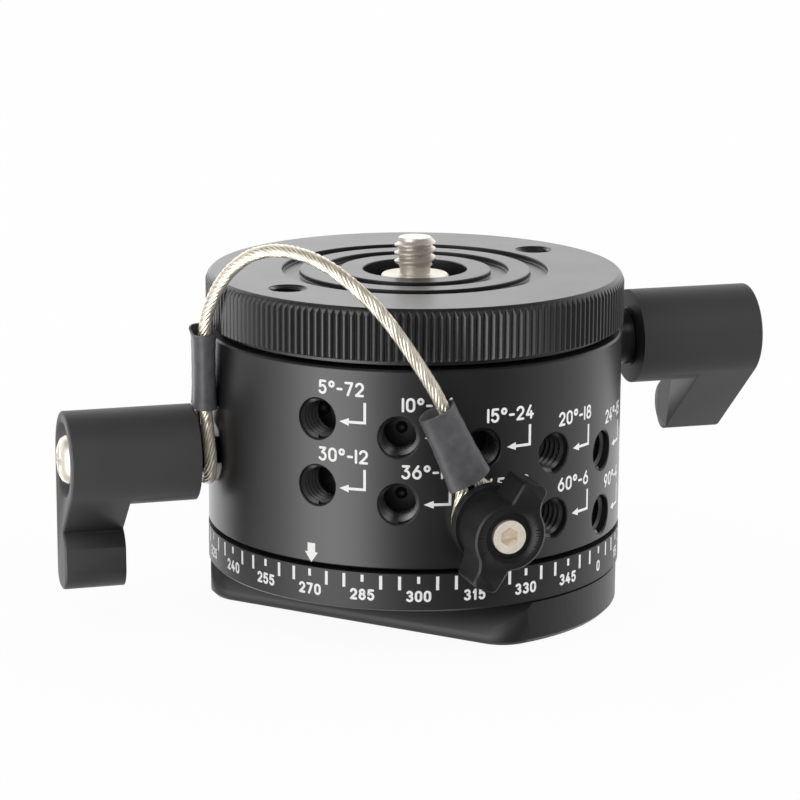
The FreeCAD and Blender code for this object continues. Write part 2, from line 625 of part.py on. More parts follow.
# ---- platform ------------------------------------------------------------------------------------
def platform():
    half_mouth = V_GROOVE_FLAT + V_GROOVE_DEPTH
    profile = [(NECK_BORE_R, NECK_BOTTOM), (NECK_R, NECK_BOTTOM), (NECK_R, JOURNAL_BOTTOM),
               (JOURNAL_R, JOURNAL_BOTTOM), (JOURNAL_R, UPPER_Z - half_mouth),
               (JOURNAL_R - V_GROOVE_DEPTH, UPPER_Z - V_GROOVE_FLAT),
               (JOURNAL_R - V_GROOVE_DEPTH, UPPER_Z + V_GROOVE_FLAT),
               (JOURNAL_R, UPPER_Z + half_mouth), (JOURNAL_R, CAP_UNDERSIDE),
               (CAP_STEP_R, CAP_UNDERSIDE), (CAP_STEP_R, KNURL_BOTTOM),
               (KNURL_R - KNURL_EDGE, KNURL_BOTTOM), (KNURL_R, KNURL_BOTTOM + KNURL_EDGE),
               (KNURL_R, KNURL_TOP), (KNURL_R - KNURL_BEVEL, KNURL_TOP + KNURL_RUN_OUT), (FACE_R, FACE_Z)]
    for outer, inner in GROOVES:
        profile += [(outer, FACE_Z), (outer, FACE_Z - GROOVE_DEPTH), (inner, FACE_Z - GROOVE_DEPTH),
                    (inner, FACE_Z)]
    profile += [(RECESS_R, FACE_Z), (RECESS_R, PLATE_BOTTOM), (NECK_BORE_R, PLATE_BOTTOM)]
    body = turned(profile)
    mouth = TOP_HOLE_MOUTH_R - M5_CORE_R
    for azimuth in (TOP_HOLE_DEG, TOP_HOLE_DEG + 180):
        angle = math.radians(azimuth)
        hole = rod(M5_CORE_R, CAP_UNDERSIDE - 1, FACE_Z + 1)
        hole = hole.fuse(cone(M5_CORE_R, TOP_HOLE_MOUTH_R, FACE_Z - mouth, FACE_Z))
        hole.translate(V(TOP_HOLE_R * math.cos(angle), TOP_HOLE_R * math.sin(angle), 0))
        body = body.cut(hole)
    return body


def platform_slip_ring():
    return tube(JOURNAL_R - SLACK, NECK_R + SLACK, WEB_TOP, JOURNAL_BOTTOM)


def ring_nut():
    """Slotted nut that keeps the platform's neck in the housing's web."""
    nut = tube(RING_NUT_R, NECK_R + RUN, NECK_BOTTOM, RING_NUT_TOP)
    for angle in (0, 90):
        slot = Part.makeBox(2 * RING_NUT_R + 2, SPANNER_SLOT_W, SPANNER_SLOT_DEPTH + 1,
                            V(-RING_NUT_R - 1, -SPANNER_SLOT_W / 2, NECK_BOTTOM - 1))
        slot.rotate(V(0, 0, 0), Z_AXIS, angle)
        nut = nut.cut(slot)
    return nut


def ring_nut_slip_ring():
    return tube(RING_NUT_R, NECK_R + SLACK, RING_NUT_TOP, WEB_BOTTOM)


def stud_plate():
    """Threaded disc in the platform's bore that carries the camera stud."""
    plate = rod(RECESS_R - RUN, PLATE_BOTTOM, RECESS_FLOOR)
    plate = plate.cut(rod(STUD_SHANK_R + RUN, PLATE_BOTTOM - 1, RECESS_FLOOR + 1))
    for side in (-1, 1):
        spanner_hole = rod(SPANNER_HOLE_R, RECESS_FLOOR - SPANNER_HOLE_DEPTH, RECESS_FLOOR + 1)
        spanner_hole.translate(V(0, side * (STUD_FLANGE_R + SPANNER_HOLE_OUT), 0))
        plate = plate.cut(spanner_hole)
    return plate


def camera_stud():
    shank_bottom = PLATE_BOTTOM + STUD_SHANK_SHY
    return turned([(0, shank_bottom), (STUD_SHANK_R, shank_bottom), (STUD_SHANK_R, RECESS_FLOOR),
                   (STUD_FLANGE_R, RECESS_FLOOR), (STUD_FLANGE_R, STUD_FLANGE_TOP - STUD_FLANGE_EDGE),
                   (STUD_FLANGE_R - STUD_FLANGE_EDGE, STUD_FLANGE_TOP), (STUD_NECK_R, STUD_FLANGE_TOP),
                   (STUD_NECK_R, STUD_THREAD_BOTTOM - STUD_THREAD_EDGE), (CAMERA_R, STUD_THREAD_BOTTOM),
                   (CAMERA_R, STUD_TOP - STUD_TIP), (CAMERA_R - STUD_TIP, STUD_TOP), (0, STUD_TOP)])


# ---- clamping levers -----------------------------------------------------------------------------
def lever_outline():
    """Side view of the lever: x runs along the blade, and its flat side faces -y."""
    r = HUB_R
    reach = BLADE_REACH
    waist = V(*BLADE_WAIST, 0)
    aim = math.atan2(waist.y, waist.x) + math.acos(r / waist.Length)
    leave = V(r * math.cos(aim), r * math.sin(aim), 0)
    back = V(-r, 0, 0)
    side = V(0, -r, 0)
    side_end = V(reach - TIP_ROUND, -r, 0)
    tip = V(reach, TIP_ROUND - r, 0)
    tip_low = V(reach, TIP_LOW_Y, 0)
    lobe_side = V(reach - LOBE_CORNER, LOBE_SIDE_Y, 0)
    lobe_root = V(*LOBE_ROOT, 0)
    corner = TIP_ROUND * (1 - math.sqrt(0.5))
    edges = [
        Part.Arc(leave, back, side).toShape(),
        Part.LineSegment(side, side_end).toShape(),
        Part.Arc(side_end, V(reach - corner, corner - r, 0), tip).toShape(),
        Part.LineSegment(tip, tip_low).toShape(),
        Part.Arc(tip_low, V(reach - LOBE_ARC[0], LOBE_ARC[1], 0), lobe_side).toShape(),
        Part.LineSegment(lobe_side, lobe_root).toShape(),
        Part.Arc(lobe_root, V(*BLADE_BEND, 0), waist).toShape(),
        Part.LineSegment(waist, leave).toShape(),
    ]
    return Part.Face(Part.Wire(edges))


def lever_at_origin():
    """Lever along +Z: the blade points to +X, which hangs down once the lever is laid outwards."""
    hub = rod(HUB_R, LEVER_IN, LEVER_OUT)
    blade = lever_outline().extrude(V(0, 0, BLADE_W))
    blade.translate(V(0, 0, LEVER_OUT - BLADE_W))
    return hub.fuse(blade).removeSplitter()


def place_lever(shape, azimuth, height, turn):
    """Lay a lever piece outwards, with its blade down and then turned about its own axis."""
    shape = shape.copy()
    shape.rotate(V(0, 0, 0), Z_AXIS, turn)
    return outwards(shape, azimuth, height)


def lever(azimuth, height, turn):
    body = lever_at_origin()
    rims = [e for e in body.Edges
            if abs(e.BoundBox.ZMax - e.BoundBox.ZMin) < 0.01 and e.BoundBox.ZMin > LEVER_OUT - 0.01]
    body = body.makeFillet(LEVER_EDGE, rims)
    body = body.cut(rod(INSERT_R + RUN, LEVER_IN - 1, LEVER_WEB_IN))
    body = body.cut(rod(M4_R + 2 * RUN, LEVER_IN, LEVER_OUT))
    body = body.cut(rod(POCKET_R, POCKET_FLOOR, LEVER_OUT + 1))
    return place_lever(body, azimuth, height, turn)


def lever_stud(azimuth, height, turn):
    """Threaded stud with the toothed head that turns with the lever."""
    body = rod(M5_CORE_R - RUN, ROD_IN, STEM_IN).fuse(rod(STEM_R, STEM_IN, INSERT_IN))
    body = body.fuse(rod(INSERT_R, INSERT_IN, INSERT_OUT)).removeSplitter()
    body = body.cut(rod(M4_CORE_R + RUN, INSERT_OUT - SCREW_BITE - BURIED, INSERT_OUT + 1))
    return place_lever(body, azimuth, height, turn)


def lever_screw(azimuth, height, turn):
    """Cross-recess pan head screw that holds the lever on its stud."""
    head_top = SCREW_HEAD_IN + SCREW_HEAD_H
    flat_inset, shoulder_inset, shoulder_drop, side_drop = SCREW_HEAD_DOME
    head = turned([(0, SCREW_HEAD_IN), (SCREW_HEAD_R, SCREW_HEAD_IN), (SCREW_HEAD_R, head_top - side_drop),
                   (SCREW_HEAD_R - shoulder_inset, head_top - shoulder_drop),
                   (SCREW_HEAD_R - flat_inset, head_top), (0, head_top)])
    body = head.fuse(rod(M4_CORE_R, INSERT_OUT - SCREW_BITE, SCREW_HEAD_IN + BURIED))
    body = body.cut(cross_recess(head_top - CROSS_DEPTH, head_top + 1))
    return place_lever(body, azimuth, height, turn)


def lever_spring(azimuth, height):
    body = coil_spring(LEVER_SPRING_R, LEVER_SPRING_WIRE, LEVER_SPRING_TURNS, POCKET_FLOOR, SCREW_HEAD_IN)
    return place_lever(body, azimuth, height, LEVER_SPRING_TURN)


def lower_brake_plug():
    body = rod(M5_CORE_R - RUN, DRUM_R + LOWER_PLUG_GAP, ROD_IN)
    return outwards(body, LOWER_DEG, LOWER_Z)


def upper_brake_plug():
    plug_r = M5_CORE_R - RUN
    tip = JOURNAL_R - V_GROOVE_DEPTH + UPPER_PLUG_GAP
    shoulder = tip + plug_r - UPPER_PLUG_TIP_R
    body = cone(UPPER_PLUG_TIP_R, plug_r, tip, shoulder).fuse(rod(plug_r, shoulder, ROD_IN))
    return outwards(body.removeSplitter(), UPPER_DEG, UPPER_Z)


def upper_lever_washers():
    washers = []
    for index in range(WASHER_COUNT):
        low = SEAT_S + index * WASHER_T
        washer = tube(INSERT_R - RUN, STEM_R + SLACK, low, low + WASHER_T)
        washers.append(outwards(washer, UPPER_DEG, UPPER_Z))
    return Part.makeCompound(washers)


# ---- plunger -------------------------------------------------------------------------------------
def plunger_body():
    """Threaded shank, collar and rear boss, bored for the pin and its spring."""
    boss_out = KNOB_OUT - REAR_BOSS_SHORT
    body = rod(M6_CORE_R, SHANK_IN, COLLAR_IN).fuse(rod(COLLAR_R, COLLAR_IN, KNOB_IN))
    body = body.fuse(rod(REAR_BOSS_R, KNOB_IN, boss_out))
    body = body.cut(rod(PIN_R + RUN, SHANK_IN - 1, PIN_SHOULDER))
    body = body.cut(rod(PIN_FLANGE_R + RUN, PIN_SHOULDER - 2 * RUN, PRELOAD_IN + 2 * RUN))
    body = body.cut(rod(PRELOAD_R + RUN, PRELOAD_IN - SLACK, KNOB_OUT))
    return outwards(body, PLUNGER_DEG, PLUNGER_Z)


def knob_outline():
    """Front view of the two-winged knob: x across, y along the wings before it is turned upright."""
    corners = [V(*p, 0) for p in (KNOB_NEAR, KNOB_TIP_NEAR, KNOB_TIP_FAR, KNOB_HOLLOW, KNOB_WAIST,
                                  KNOB_HUB_SIDE)]

    def half(sign):
        n, t, f, h, w, g = [p * sign for p in corners]
        return [Part.LineSegment(n, t).toShape(), Part.LineSegment(t, f).toShape(),
                Part.Arc(f, h, w).toShape(), Part.Arc(w, g, n * -1).toShape()]

    return Part.Face(Part.Wire(half(1) + half(-1)))


def corner_edges(body):
    """Edges of the knob that run straight from back to front."""
    return [e for e in body.Edges if e.BoundBox.ZLength > KNOB_LEN - 0.01
            and e.BoundBox.XLength < 0.01 and e.BoundBox.YLength < 0.01]


def plunger_knob():
    """Two-winged finger knob round the plunger's rear boss."""
    body = knob_outline().extrude(V(0, 0, KNOB_LEN))
    body.translate(V(0, 0, KNOB_IN))
    roots = [e for e in corner_edges(body) if math.hypot(e.BoundBox.XMin, e.BoundBox.YMin) < KNOB_ROOT_REACH]
    body = body.makeFillet(KNOB_ROOT_ROUND, roots)
    tips = [e for e in corner_edges(body) if math.hypot(e.BoundBox.XMin, e.BoundBox.YMin) > KNOB_ROOT_REACH]
    body = body.makeFillet(KNOB_TIP_ROUND, tips)
    front = [e for e in body.Edges if e.BoundBox.ZMin > KNOB_OUT - 0.01]
    body = body.makeChamfer(KNOB_EDGE, front)
    body = body.cut(rod(REAR_BOSS_R, KNOB_IN - 1, KNOB_OUT + 1))
    body = body.cut(rod(KNOB_RECESS_R, KNOB_OUT - KNOB_RECESS_DEPTH, KNOB_OUT + 1))
    # After it is laid outwards, x points down and y along the tangent, so the outline is turned.
    body.rotate(V(0, 0, 0), Z_AXIS, 90)
    return outwards(body, PLUNGER_DEG, PLUNGER_Z)


def preload_screw():
    body = rod(PRELOAD_R, PRELOAD_IN, PRELOAD_OUT)
    body = body.cut(hex_prism(HEX_SOCKET_AF, PRELOAD_OUT - HEX_DEPTH, PRELOAD_OUT + 1))
    return outwards(body, PLUNGER_DEG, PLUNGER_Z)


def detent_pin():
    """Pin with a ball nose, a shoulder that stops it in the shank and a tail inside the spring."""
    nose = Part.makeSphere(PIN_R, V(0, 0, PIN_TIP + PIN_R))
    flange_top = PIN_SHOULDER + PIN_FLANGE_T
    body = nose.fuse(rod(PIN_R, PIN_TIP + PIN_R, PIN_SHOULDER + PIN_FLANGE_T))
    body = body.fuse(rod(PIN_FLANGE_R, PIN_SHOULDER, flange_top))
    body = body.fuse(rod(PIN_TAIL_R, PIN_SHOULDER, flange_top + PIN_TAIL_LEN)).removeSplitter()
    return outwards(body, PLUNGER_DEG, PLUNGER_Z)


def detent_spring():
    low = PIN_SHOULDER + PIN_FLANGE_T
    body = coil_spring(DETENT_SPRING_R, DETENT_SPRING_WIRE, DETENT_SPRING_TURNS, low, PRELOAD_IN)
    return outwards(body, PLUNGER_DEG, PLUNGER_Z)


# ---- tether --------------------------------------------------------------------------------------
class TetherEnd:
    """Frame of one end of the tether: along runs from the eye to the rope, across lies in the sleeve."""

    def __init__(self, azimuth, height, tilt, reach):
        a = math.radians(azimuth)
        radial = V(math.cos(a), math.sin(a), 0)
        tangent = V(-math.sin(a), math.cos(a), 0)
        t = math.radians(tilt)
        along = Z_AXIS * math.cos(t) - tangent * math.sin(t) + radial * EYE_LEAN
        self.along = along.normalize()
        self.across = (tangent * math.cos(t) + Z_AXIS * math.sin(t)).normalize()
        self.centre = radial * EYE_CENTRE_S + Z_AXIS * height
        self.sleeve_from = reach
        self.sleeve_to = reach + SLEEVE_LEN

    def at(self, across, along):
        return self.centre + self.across * across + self.along * along

    def flat_tube(self, width, thick, low, high):
        """Solid with rounded sides, flat in the eye's plane, from low to high along the frame."""
        half = (width - thick) / 2
        normal = self.across.cross(self.along)
        r = thick / 2
        corner = [(-half, -r), (half, -r), (half + r, 0), (half, r), (-half, r), (-half - r, 0)]
        p = [self.at(a, low) + normal * n for a, n in corner]
        wire = Part.Wire([Part.LineSegment(p[0], p[1]).toShape(), Part.Arc(p[1], p[2], p[3]).toShape(),
                          Part.LineSegment(p[3], p[4]).toShape(), Part.Arc(p[4], p[5], p[0]).toShape()])
        return Part.Face(wire).extrude(self.along * (high - low))

    def sleeve(self):
        outer = self.flat_tube(SLEEVE_W, SLEEVE_T, self.sleeve_from, self.sleeve_to)
        inner = self.flat_tube(SLEEVE_W - 2 * SLEEVE_WALL, SLEEVE_T - 2 * SLEEVE_WALL,
                               self.sleeve_from - 1, self.sleeve_to + 1)
        return outer.cut(inner)

    def ferrule(self):
        return self.flat_tube(FERRULE_W, FERRULE_T, self.sleeve_from + SLEEVE_MOUTH,
                              self.sleeve_to - SLEEVE_MOUTH)

    def eye(self):
        """Rope bent round a pin, with both strands straight where they enter the ferrule."""
        entry = self.sleeve_from + SLEEVE_MOUTH
        bend_at = entry - EYE_NECK
        distance = math.hypot(STRAND_OFFSET, bend_at)
        touch = math.atan2(STRAND_OFFSET, bend_at) + math.acos(EYE_R / distance)
        touch_right = self.at(EYE_R * math.sin(touch), EYE_R * math.cos(touch))
        touch_left = self.at(-EYE_R * math.sin(touch), EYE_R * math.cos(touch))
        corner_right = self.at(STRAND_OFFSET, bend_at)
        corner_left = self.at(-STRAND_OFFSET, bend_at)
        end_right = self.at(STRAND_OFFSET, entry)
        end_left = self.at(-STRAND_OFFSET, entry)
        right = rounded_run(end_right, corner_right, touch_right, EYE_BEND_R)
        left = rounded_run(touch_left, corner_left, end_left, EYE_BEND_R)
        round_pin = Part.Arc(touch_right, self.at(0, -EYE_R), touch_left).toShape()
        return sweep_rope(right + [round_pin] + left, end_right, self.along * -1)

    def rope_start(self):
        """Where the rope leaves the ferrule, on one side of the sleeve's mouth."""
        return self.at(STRAND_OFFSET, self.sleeve_to - SLEEVE_MOUTH)


def rounded_run(before, corner, after, radius):
    """Straight, arc and straight round one corner."""
    back = (before - corner).normalize()
    on = (after - corner).normalize()
    half_turn = (math.pi - back.getAngle(on)) / 2
    reach = radius * math.tan(half_turn)
    start = corner + back * reach
    end = corner + on * reach
    inward = (back + on).normalize()
    middle = corner + inward * (radius / math.cos(half_turn) - radius)
    return [Part.LineSegment(before, start).toShape(), Part.Arc(start, middle, end).toShape(),
            Part.LineSegment(end, after).toShape()]


def sweep_rope(edges, start, heading):
    section = Part.Wire(Part.makeCircle(ROPE_R, start, heading))
    return Part.Wire(edges).makePipeShell([section], True, False)


def rope_route():
    start = PLUNGER_END.rope_start()
    end = LEVER_END.rope_start()
    return ([start, start + PLUNGER_END.along * ROPE_LEAD] + [V(*p) for p in ROPE_POINTS]
            + [end + LEVER_END.along * ROPE_LEAD, end])


def tether_rope():
    """Rope between the ferrules: straight runs joined by tangent arcs."""
    route = rope_route()
    edges = []
    start = route[0]
    radii = []
    for before, corner, after in zip(route, route[1:], route[2:]):
        back = (before - corner).normalize()
        on = (after - corner).normalize()
        half_turn = (math.pi - back.getAngle(on)) / 2
        reach = 0.45 * min((before - corner).Length, (after - corner).Length)
        radius = reach / math.tan(half_turn)
        radii.append(radius)
        arc_in = corner + back * reach
        arc_out = corner + on * reach
        middle = corner + (back + on).normalize() * (radius / math.cos(half_turn) - radius)
        edges.append(Part.LineSegment(start, arc_in).toShape())
        edges.append(Part.Arc(arc_in, middle, arc_out).toShape())
        start = arc_out
    edges.append(Part.LineSegment(start, route[-1]).toShape())
    rope = sweep_rope(edges, route[0], route[1] - route[0])
    length = sum(e.Length for e in edges)
    print("rope length %.1f mm, volume / (section x length) %.4f" %
          (length, rope.Volume / (math.pi * ROPE_R ** 2 * length)))
    print("rope bend radii, mm:", [round(r, 1) for r in radii])
    return rope


PLUNGER_END = TetherEnd(PLUNGER_DEG, PLUNGER_Z, PLUNGER_EYE_DEG, PLUNGER_EYE_REACH)
LEVER_END = TetherEnd(LOWER_DEG, LOWER_Z, LEVER_EYE_DEG, LEVER_EYE_REACH)


# ---- the whole head ------------------------------------------------------------------------------
def pieces():
    lower = (LOWER_DEG, LOWER_Z, LOWER_TURN)
    upper = (UPPER_DEG, UPPER_Z, UPPER_TURN)
    made = {
        "foot_plate": foot_plate(),
        "foot_screws": foot_screws(),
        "dowel_pins": dowel_pins(),
        "spindle": spindle(),
        "scale_ring": scale_ring(),
        "index_drum": index_drum(),
        "lower_thrust_washer": lower_thrust_washer(),
        "retaining_washer": retaining_washer(),
        "spindle_bolt": spindle_bolt(),
        "housing": housing(),
        "bearing_carrier": bearing_carrier(),
        "carrier_screws": carrier_screws(),
        "spindle_bush": spindle_bush(),
        "platform": platform(),
        "platform_slip_ring": platform_slip_ring(),
        "ring_nut": ring_nut(),
        "ring_nut_slip_ring": ring_nut_slip_ring(),
        "stud_plate": stud_plate(),
        "camera_stud": camera_stud(),
        "upper_lever_washers": upper_lever_washers(),
        "lower_brake_plug": lower_brake_plug(),
        "upper_brake_plug": upper_brake_plug(),
        "plunger_body": plunger_body(),
        "plunger_knob": plunger_knob(),
        "preload_screw": preload_screw(),
        "detent_pin": detent_pin(),
        "detent_spring": detent_spring(),
        "tether_rope": tether_rope(),
        "plunger_tether_eye": PLUNGER_END.eye(),
        "plunger_tether_ferrule": PLUNGER_END.ferrule(),
        "plunger_tether_sleeve": PLUNGER_END.sleeve(),
        "lever_tether_eye": LEVER_END.eye(),
        "lever_tether_ferrule": LEVER_END.ferrule(),
        "lever_tether_sleeve": LEVER_END.sleeve(),
    }
    for name, where in (("lower", lower), ("upper", upper)):
        made[name + "_lever"] = lever(*where)
        made[name + "_lever_stud"] = lever_stud(*where)
        made[name + "_lever_screw"] = lever_screw(*where)
        made[name + "_lever_spring"] = lever_spring(*where[:2])
    return made


def main():
    os.makedirs("parts", exist_ok=True)
    for name, shape in pieces().items():
        if not shape.isValid() or not shape.Solids:
            print("check this shape:", name, shape.isValid(), len(shape.Solids))
        shape.exportStep("parts/%s.step" % name)


main()
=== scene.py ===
# %% [markdown]
# # A panoramic tripod head, finished for looks
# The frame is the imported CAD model: every piece below sits on it and rides on one of its bodies.
# Work goes from the camera to the finishes and the wire rope, then to the turned, milled and printed
# pieces, and ends with the light.  Everything is in metres; sizes are written in millimetres times MM.

# %% Load the frame
import json
import math
import bmesh
import bpy
from mathutils import Matrix, Quaternion, Vector


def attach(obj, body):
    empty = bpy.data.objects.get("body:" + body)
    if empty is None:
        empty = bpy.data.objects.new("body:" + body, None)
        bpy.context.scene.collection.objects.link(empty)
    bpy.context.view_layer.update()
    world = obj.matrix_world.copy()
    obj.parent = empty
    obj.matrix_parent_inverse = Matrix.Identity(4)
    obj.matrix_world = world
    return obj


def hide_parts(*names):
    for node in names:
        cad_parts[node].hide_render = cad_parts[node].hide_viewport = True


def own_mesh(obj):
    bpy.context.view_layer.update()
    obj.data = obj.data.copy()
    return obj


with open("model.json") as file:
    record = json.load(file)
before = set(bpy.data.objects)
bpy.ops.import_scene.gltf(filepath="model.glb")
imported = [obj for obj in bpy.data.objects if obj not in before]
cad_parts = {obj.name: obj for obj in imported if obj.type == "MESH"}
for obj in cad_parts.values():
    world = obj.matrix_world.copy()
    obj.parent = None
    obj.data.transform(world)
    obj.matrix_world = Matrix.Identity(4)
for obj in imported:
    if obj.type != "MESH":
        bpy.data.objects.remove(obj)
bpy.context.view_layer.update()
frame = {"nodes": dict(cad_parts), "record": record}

MM = 0.001
nodes = frame["nodes"]
body_of = {node: body for body, names in frame["record"]["behaviour"]["bodies"].items() for node in names}
slot_of = {subpart["node"]: subpart["material_slot"] for subpart in frame["record"]["subparts"]}

# %% [markdown]
# ## Camera
# A long lens stands a little above the head and looks across the ten plunger holes.  A camera could be
# aimed with a Track To constraint, but a matrix made once from two points and a small roll has nothing
# left that could move later.

# %% Camera
CAMERA_AT = Vector((217.45, -400.46, 138.69)) * MM
CAMERA_AIM = Vector((-1.913, -1.051, 30.869)) * MM
CAMERA_ROLL = math.radians(0.30)
LENS_MM = 135.92
SENSOR_MM = 36.0
camera = bpy.data.objects.new("camera", bpy.data.cameras.new("camera"))
camera.data.lens = LENS_MM
camera.data.sensor_width = SENSOR_MM
camera.data.clip_start = 0.01
aim = (CAMERA_AIM - CAMERA_AT).to_track_quat("-Z", "Y") @ Quaternion((0, 0, 1), CAMERA_ROLL)
camera.matrix_world = Matrix.Translation(CAMERA_AT) @ aim.to_matrix().to_4x4()
bpy.context.scene.collection.objects.link(camera)
bpy.context.scene.camera = camera
print("camera %.0f mm from the axis" % (CAMERA_AT.xy.length / MM))

# %% [markdown]
# ## Finishes
# A finish is a colour, a gloss and a grain.  Image textures could give all three, but noise read from
# Object coordinates has the same grain size on every piece and never shows a seam.  One helper builds
# the nodes: a coarse noise makes cloudy patches, a fine one roughens the surface, and a Bevel node eases
# the shading of the machined edges, as a tumbled part has no truly sharp ones.

# %% Helper for finishes
CLOUD_DETAIL = 4.0
GRAIN_DETAIL = 2.0
TINT_FROM = 0.3        # below this share of the cloud noise the colour is at its darkest
TINT_TO = 0.7
GRAIN_STRENGTH = 0.5
EDGE_SAMPLES = 4


def finish(name, colour, rough, grain_mm=0.15, grain_bump=0.02, metallic=0.0, ior=1.5, patch=0.15,
           patch_mm=6.0, edge_mm=0.0):
    """A material with cloudy colour, gloss between the two values of rough, and a fine grain.

    Its edges look eased where edge_mm is set.
    """
    material = bpy.data.materials.new(name)
    material.use_nodes = True
    tree = material.node_tree
    shader = tree.nodes["Principled BSDF"]
    shader.inputs["Metallic"].default_value = metallic
    shader.inputs["IOR"].default_value = ior
    coordinates = tree.nodes.new("ShaderNodeTexCoord")
    clouds = tree.nodes.new("ShaderNodeTexNoise")
    clouds.inputs["Scale"].default_value = 1.0 / (patch_mm * MM)
    clouds.inputs["Detail"].default_value = CLOUD_DETAIL
    tree.links.new(coordinates.outputs["Object"], clouds.inputs["Vector"])
    grain = tree.nodes.new("ShaderNodeTexNoise")
    grain.inputs["Scale"].default_value = 1.0 / (grain_mm * MM)
    grain.inputs["Detail"].default_value = GRAIN_DETAIL
    tree.links.new(coordinates.outputs["Object"], grain.inputs["Vector"])
    tint = tree.nodes.new("ShaderNodeValToRGB")
    tint.color_ramp.elements[0].position = TINT_FROM
    tint.color_ramp.elements[1].position = TINT_TO
    tint.color_ramp.elements[0].color = [c * (1 - patch) for c in colour] + [1]
    tint.color_ramp.elements[1].color = [c * (1 + patch) for c in colour] + [1]
    tree.links.new(clouds.outputs["Fac"], tint.inputs["Fac"])
    tree.links.new(tint.outputs["Color"], shader.inputs["Base Color"])
    gloss = tree.nodes.new("ShaderNodeMapRange")
    gloss.inputs["To Min"].default_value = rough[0]
    gloss.inputs["To Max"].default_value = rough[1]
    tree.links.new(clouds.outputs["Fac"], gloss.inputs["Value"])
    tree.links.new(gloss.outputs["Result"], shader.inputs["Roughness"])
    bump = tree.nodes.new("ShaderNodeBump")
    bump.inputs["Strength"].default_value = GRAIN_STRENGTH
    bump.inputs["Distance"].default_value = grain_bump * MM
    tree.links.new(grain.outputs["Fac"], bump.inputs["Height"])
    if edge_mm:
        bevel = tree.nodes.new("ShaderNodeBevel")
        bevel.samples = EDGE_SAMPLES
        bevel.inputs["Radius"].default_value = edge_mm * MM
        tree.links.new(bevel.outputs["Normal"], bump.inputs["Normal"])
    tree.links.new(bump.outputs["Normal"], shader.inputs["Normal"])
    return material


# %% [markdown]
# ## Black, bright and white
# Four blacks tell the pieces apart: the drum and cap are the smoothest, the ring and foot reflect less, as
# painted shade, the knob darker, and the levers are bead-blasted and almost matt.  One black for all would
# be simpler, but then a lever in front of the drum would vanish.  Steel that is seen is kept warm and a
# little soft, and the screws' heads are a pale cream that paints in their reflection.  A piece's slot
# chooses its finish, and a few pieces get one of their own.

# %% The finishes
black_anodised = finish("black_anodised", (0.0100, 0.0100, 0.0112), (0.34, 0.40), 0.12, 0.012, ior=1.62,
                        patch=0.12, patch_mm=9.0, edge_mm=0.12)
lever_anodised = finish("lever_anodised", (0.020, 0.0178, 0.0175), (0.6, 0.68), 0.15, 0.012, ior=2.0,
                        patch=0.1, patch_mm=9.0, edge_mm=0.1)
# Painted shade: the drum's anodising with a lower IOR, so that the ring and foot reflect less, as if in
# shade.
ring_anodised_painted_shade = finish("ring_anodised_painted_shade", (0.0130, 0.0130, 0.0142), (0.46, 0.52), 0.12, 0.012, ior=1.52,
                       patch=0.1, patch_mm=9.0, edge_mm=0.1)
knob_anodised = finish("knob_anodised", (0.0110, 0.0110, 0.0122), (0.4, 0.48), 0.12, 0.012, ior=1.42,
                       patch=0.12, patch_mm=5.0, edge_mm=0.12)
black_oxide = finish("black_oxide_steel", (0.008, 0.008, 0.009), (0.25, 0.35), 0.2, 0.01, ior=1.6,
                     patch=0.2, patch_mm=3.0, edge_mm=0.08)
stainless = finish("stainless_steel", (0.70, 0.65, 0.58), (0.34, 0.46), 0.25, 0.01, metallic=0.75,
                   patch=0.08, patch_mm=2.0, edge_mm=0.06)
# Painted reflection: a pale cream colour with little metal keeps the screws' heads bright where they face
# the dark front of the room.
screw_painted_reflection = finish("screw_painted_reflection", (0.96, 0.88, 0.76), (0.24, 0.36), 0.2, 0.01, metallic=0.35,
                      patch=0.1, patch_mm=1.2, edge_mm=0.05)
rope_steel = finish("steel_rope", (0.90, 0.83, 0.70), (0.26, 0.38), 0.2, 0.01, metallic=0.75, patch=0.1,
                    patch_mm=1.5)
white_ptfe = finish("ptfe", (0.8, 0.8, 0.78), (0.45, 0.6), 0.4, 0.02, patch=0.03)
# Painted shade: the slip ring is white PTFE, but is made near-black so that the gap under the platform is
# dark.
slip_ring_painted_shade = finish("slip_ring_painted_shade", (0.02, 0.02, 0.021), (0.5, 0.6), 0.3, 0.02, patch=0.2, patch_mm=2.0)
bronze = finish("bronze", (0.5, 0.32, 0.15), (0.3, 0.45), 0.1, 0.02, metallic=1.0, patch=0.15)
bare_aluminium = finish("aluminium", (0.62, 0.62, 0.63), (0.3, 0.4), 0.2, 0.01, metallic=1.0)
heat_shrink = finish("heat_shrink", (0.092, 0.092, 0.097), (0.38, 0.5), 0.35, 0.02, ior=1.5, patch=0.2,
                     patch_mm=1.5)
# Painted shade: tapped aluminium given a dark grey, so that the threads look shaded inside their holes.
thread_painted_shade = finish("thread_painted_shade", (0.13, 0.13, 0.135), (0.22, 0.32), 0.15, 0.01, metallic=0.95, patch=0.2)
white_ink = finish("white_ink", (0.95, 0.95, 0.94), (0.45, 0.6), 0.1, 0.004, patch=0.03, patch_mm=1.0)
FINISH_OF_SLOT = {"black_anodised": black_anodised, "black_oxide_steel": black_oxide,
                  "stainless_steel": stainless, "steel_rope": rope_steel, "ptfe": white_ptfe,
                  "bronze": bronze, "aluminium": bare_aluminium, "heat_shrink": heat_shrink}
for name, node in nodes.items():
    for slot in node.material_slots:
        slot.link = "OBJECT"
        slot.material = FINISH_OF_SLOT[slot_of[name]]
# The slip ring takes the near-black painted shade.
nodes["platform_slip_ring"].material_slots[0].material = slip_ring_painted_shade
print("finishes of the slots:", ", ".join(FINISH_OF_SLOT))

# %% [markdown]
# ## From a bmesh to a piece
# Every piece is linked, shaded smooth with sharp creases, set on its body and given its slot in the same
# way, so one helper does it.  Shade Smooth with an angle could be a modifier, but sharp edges marked in
# the mesh are what an export keeps.  Two more helpers turn a curve into a mesh and pour one bmesh into
# another.

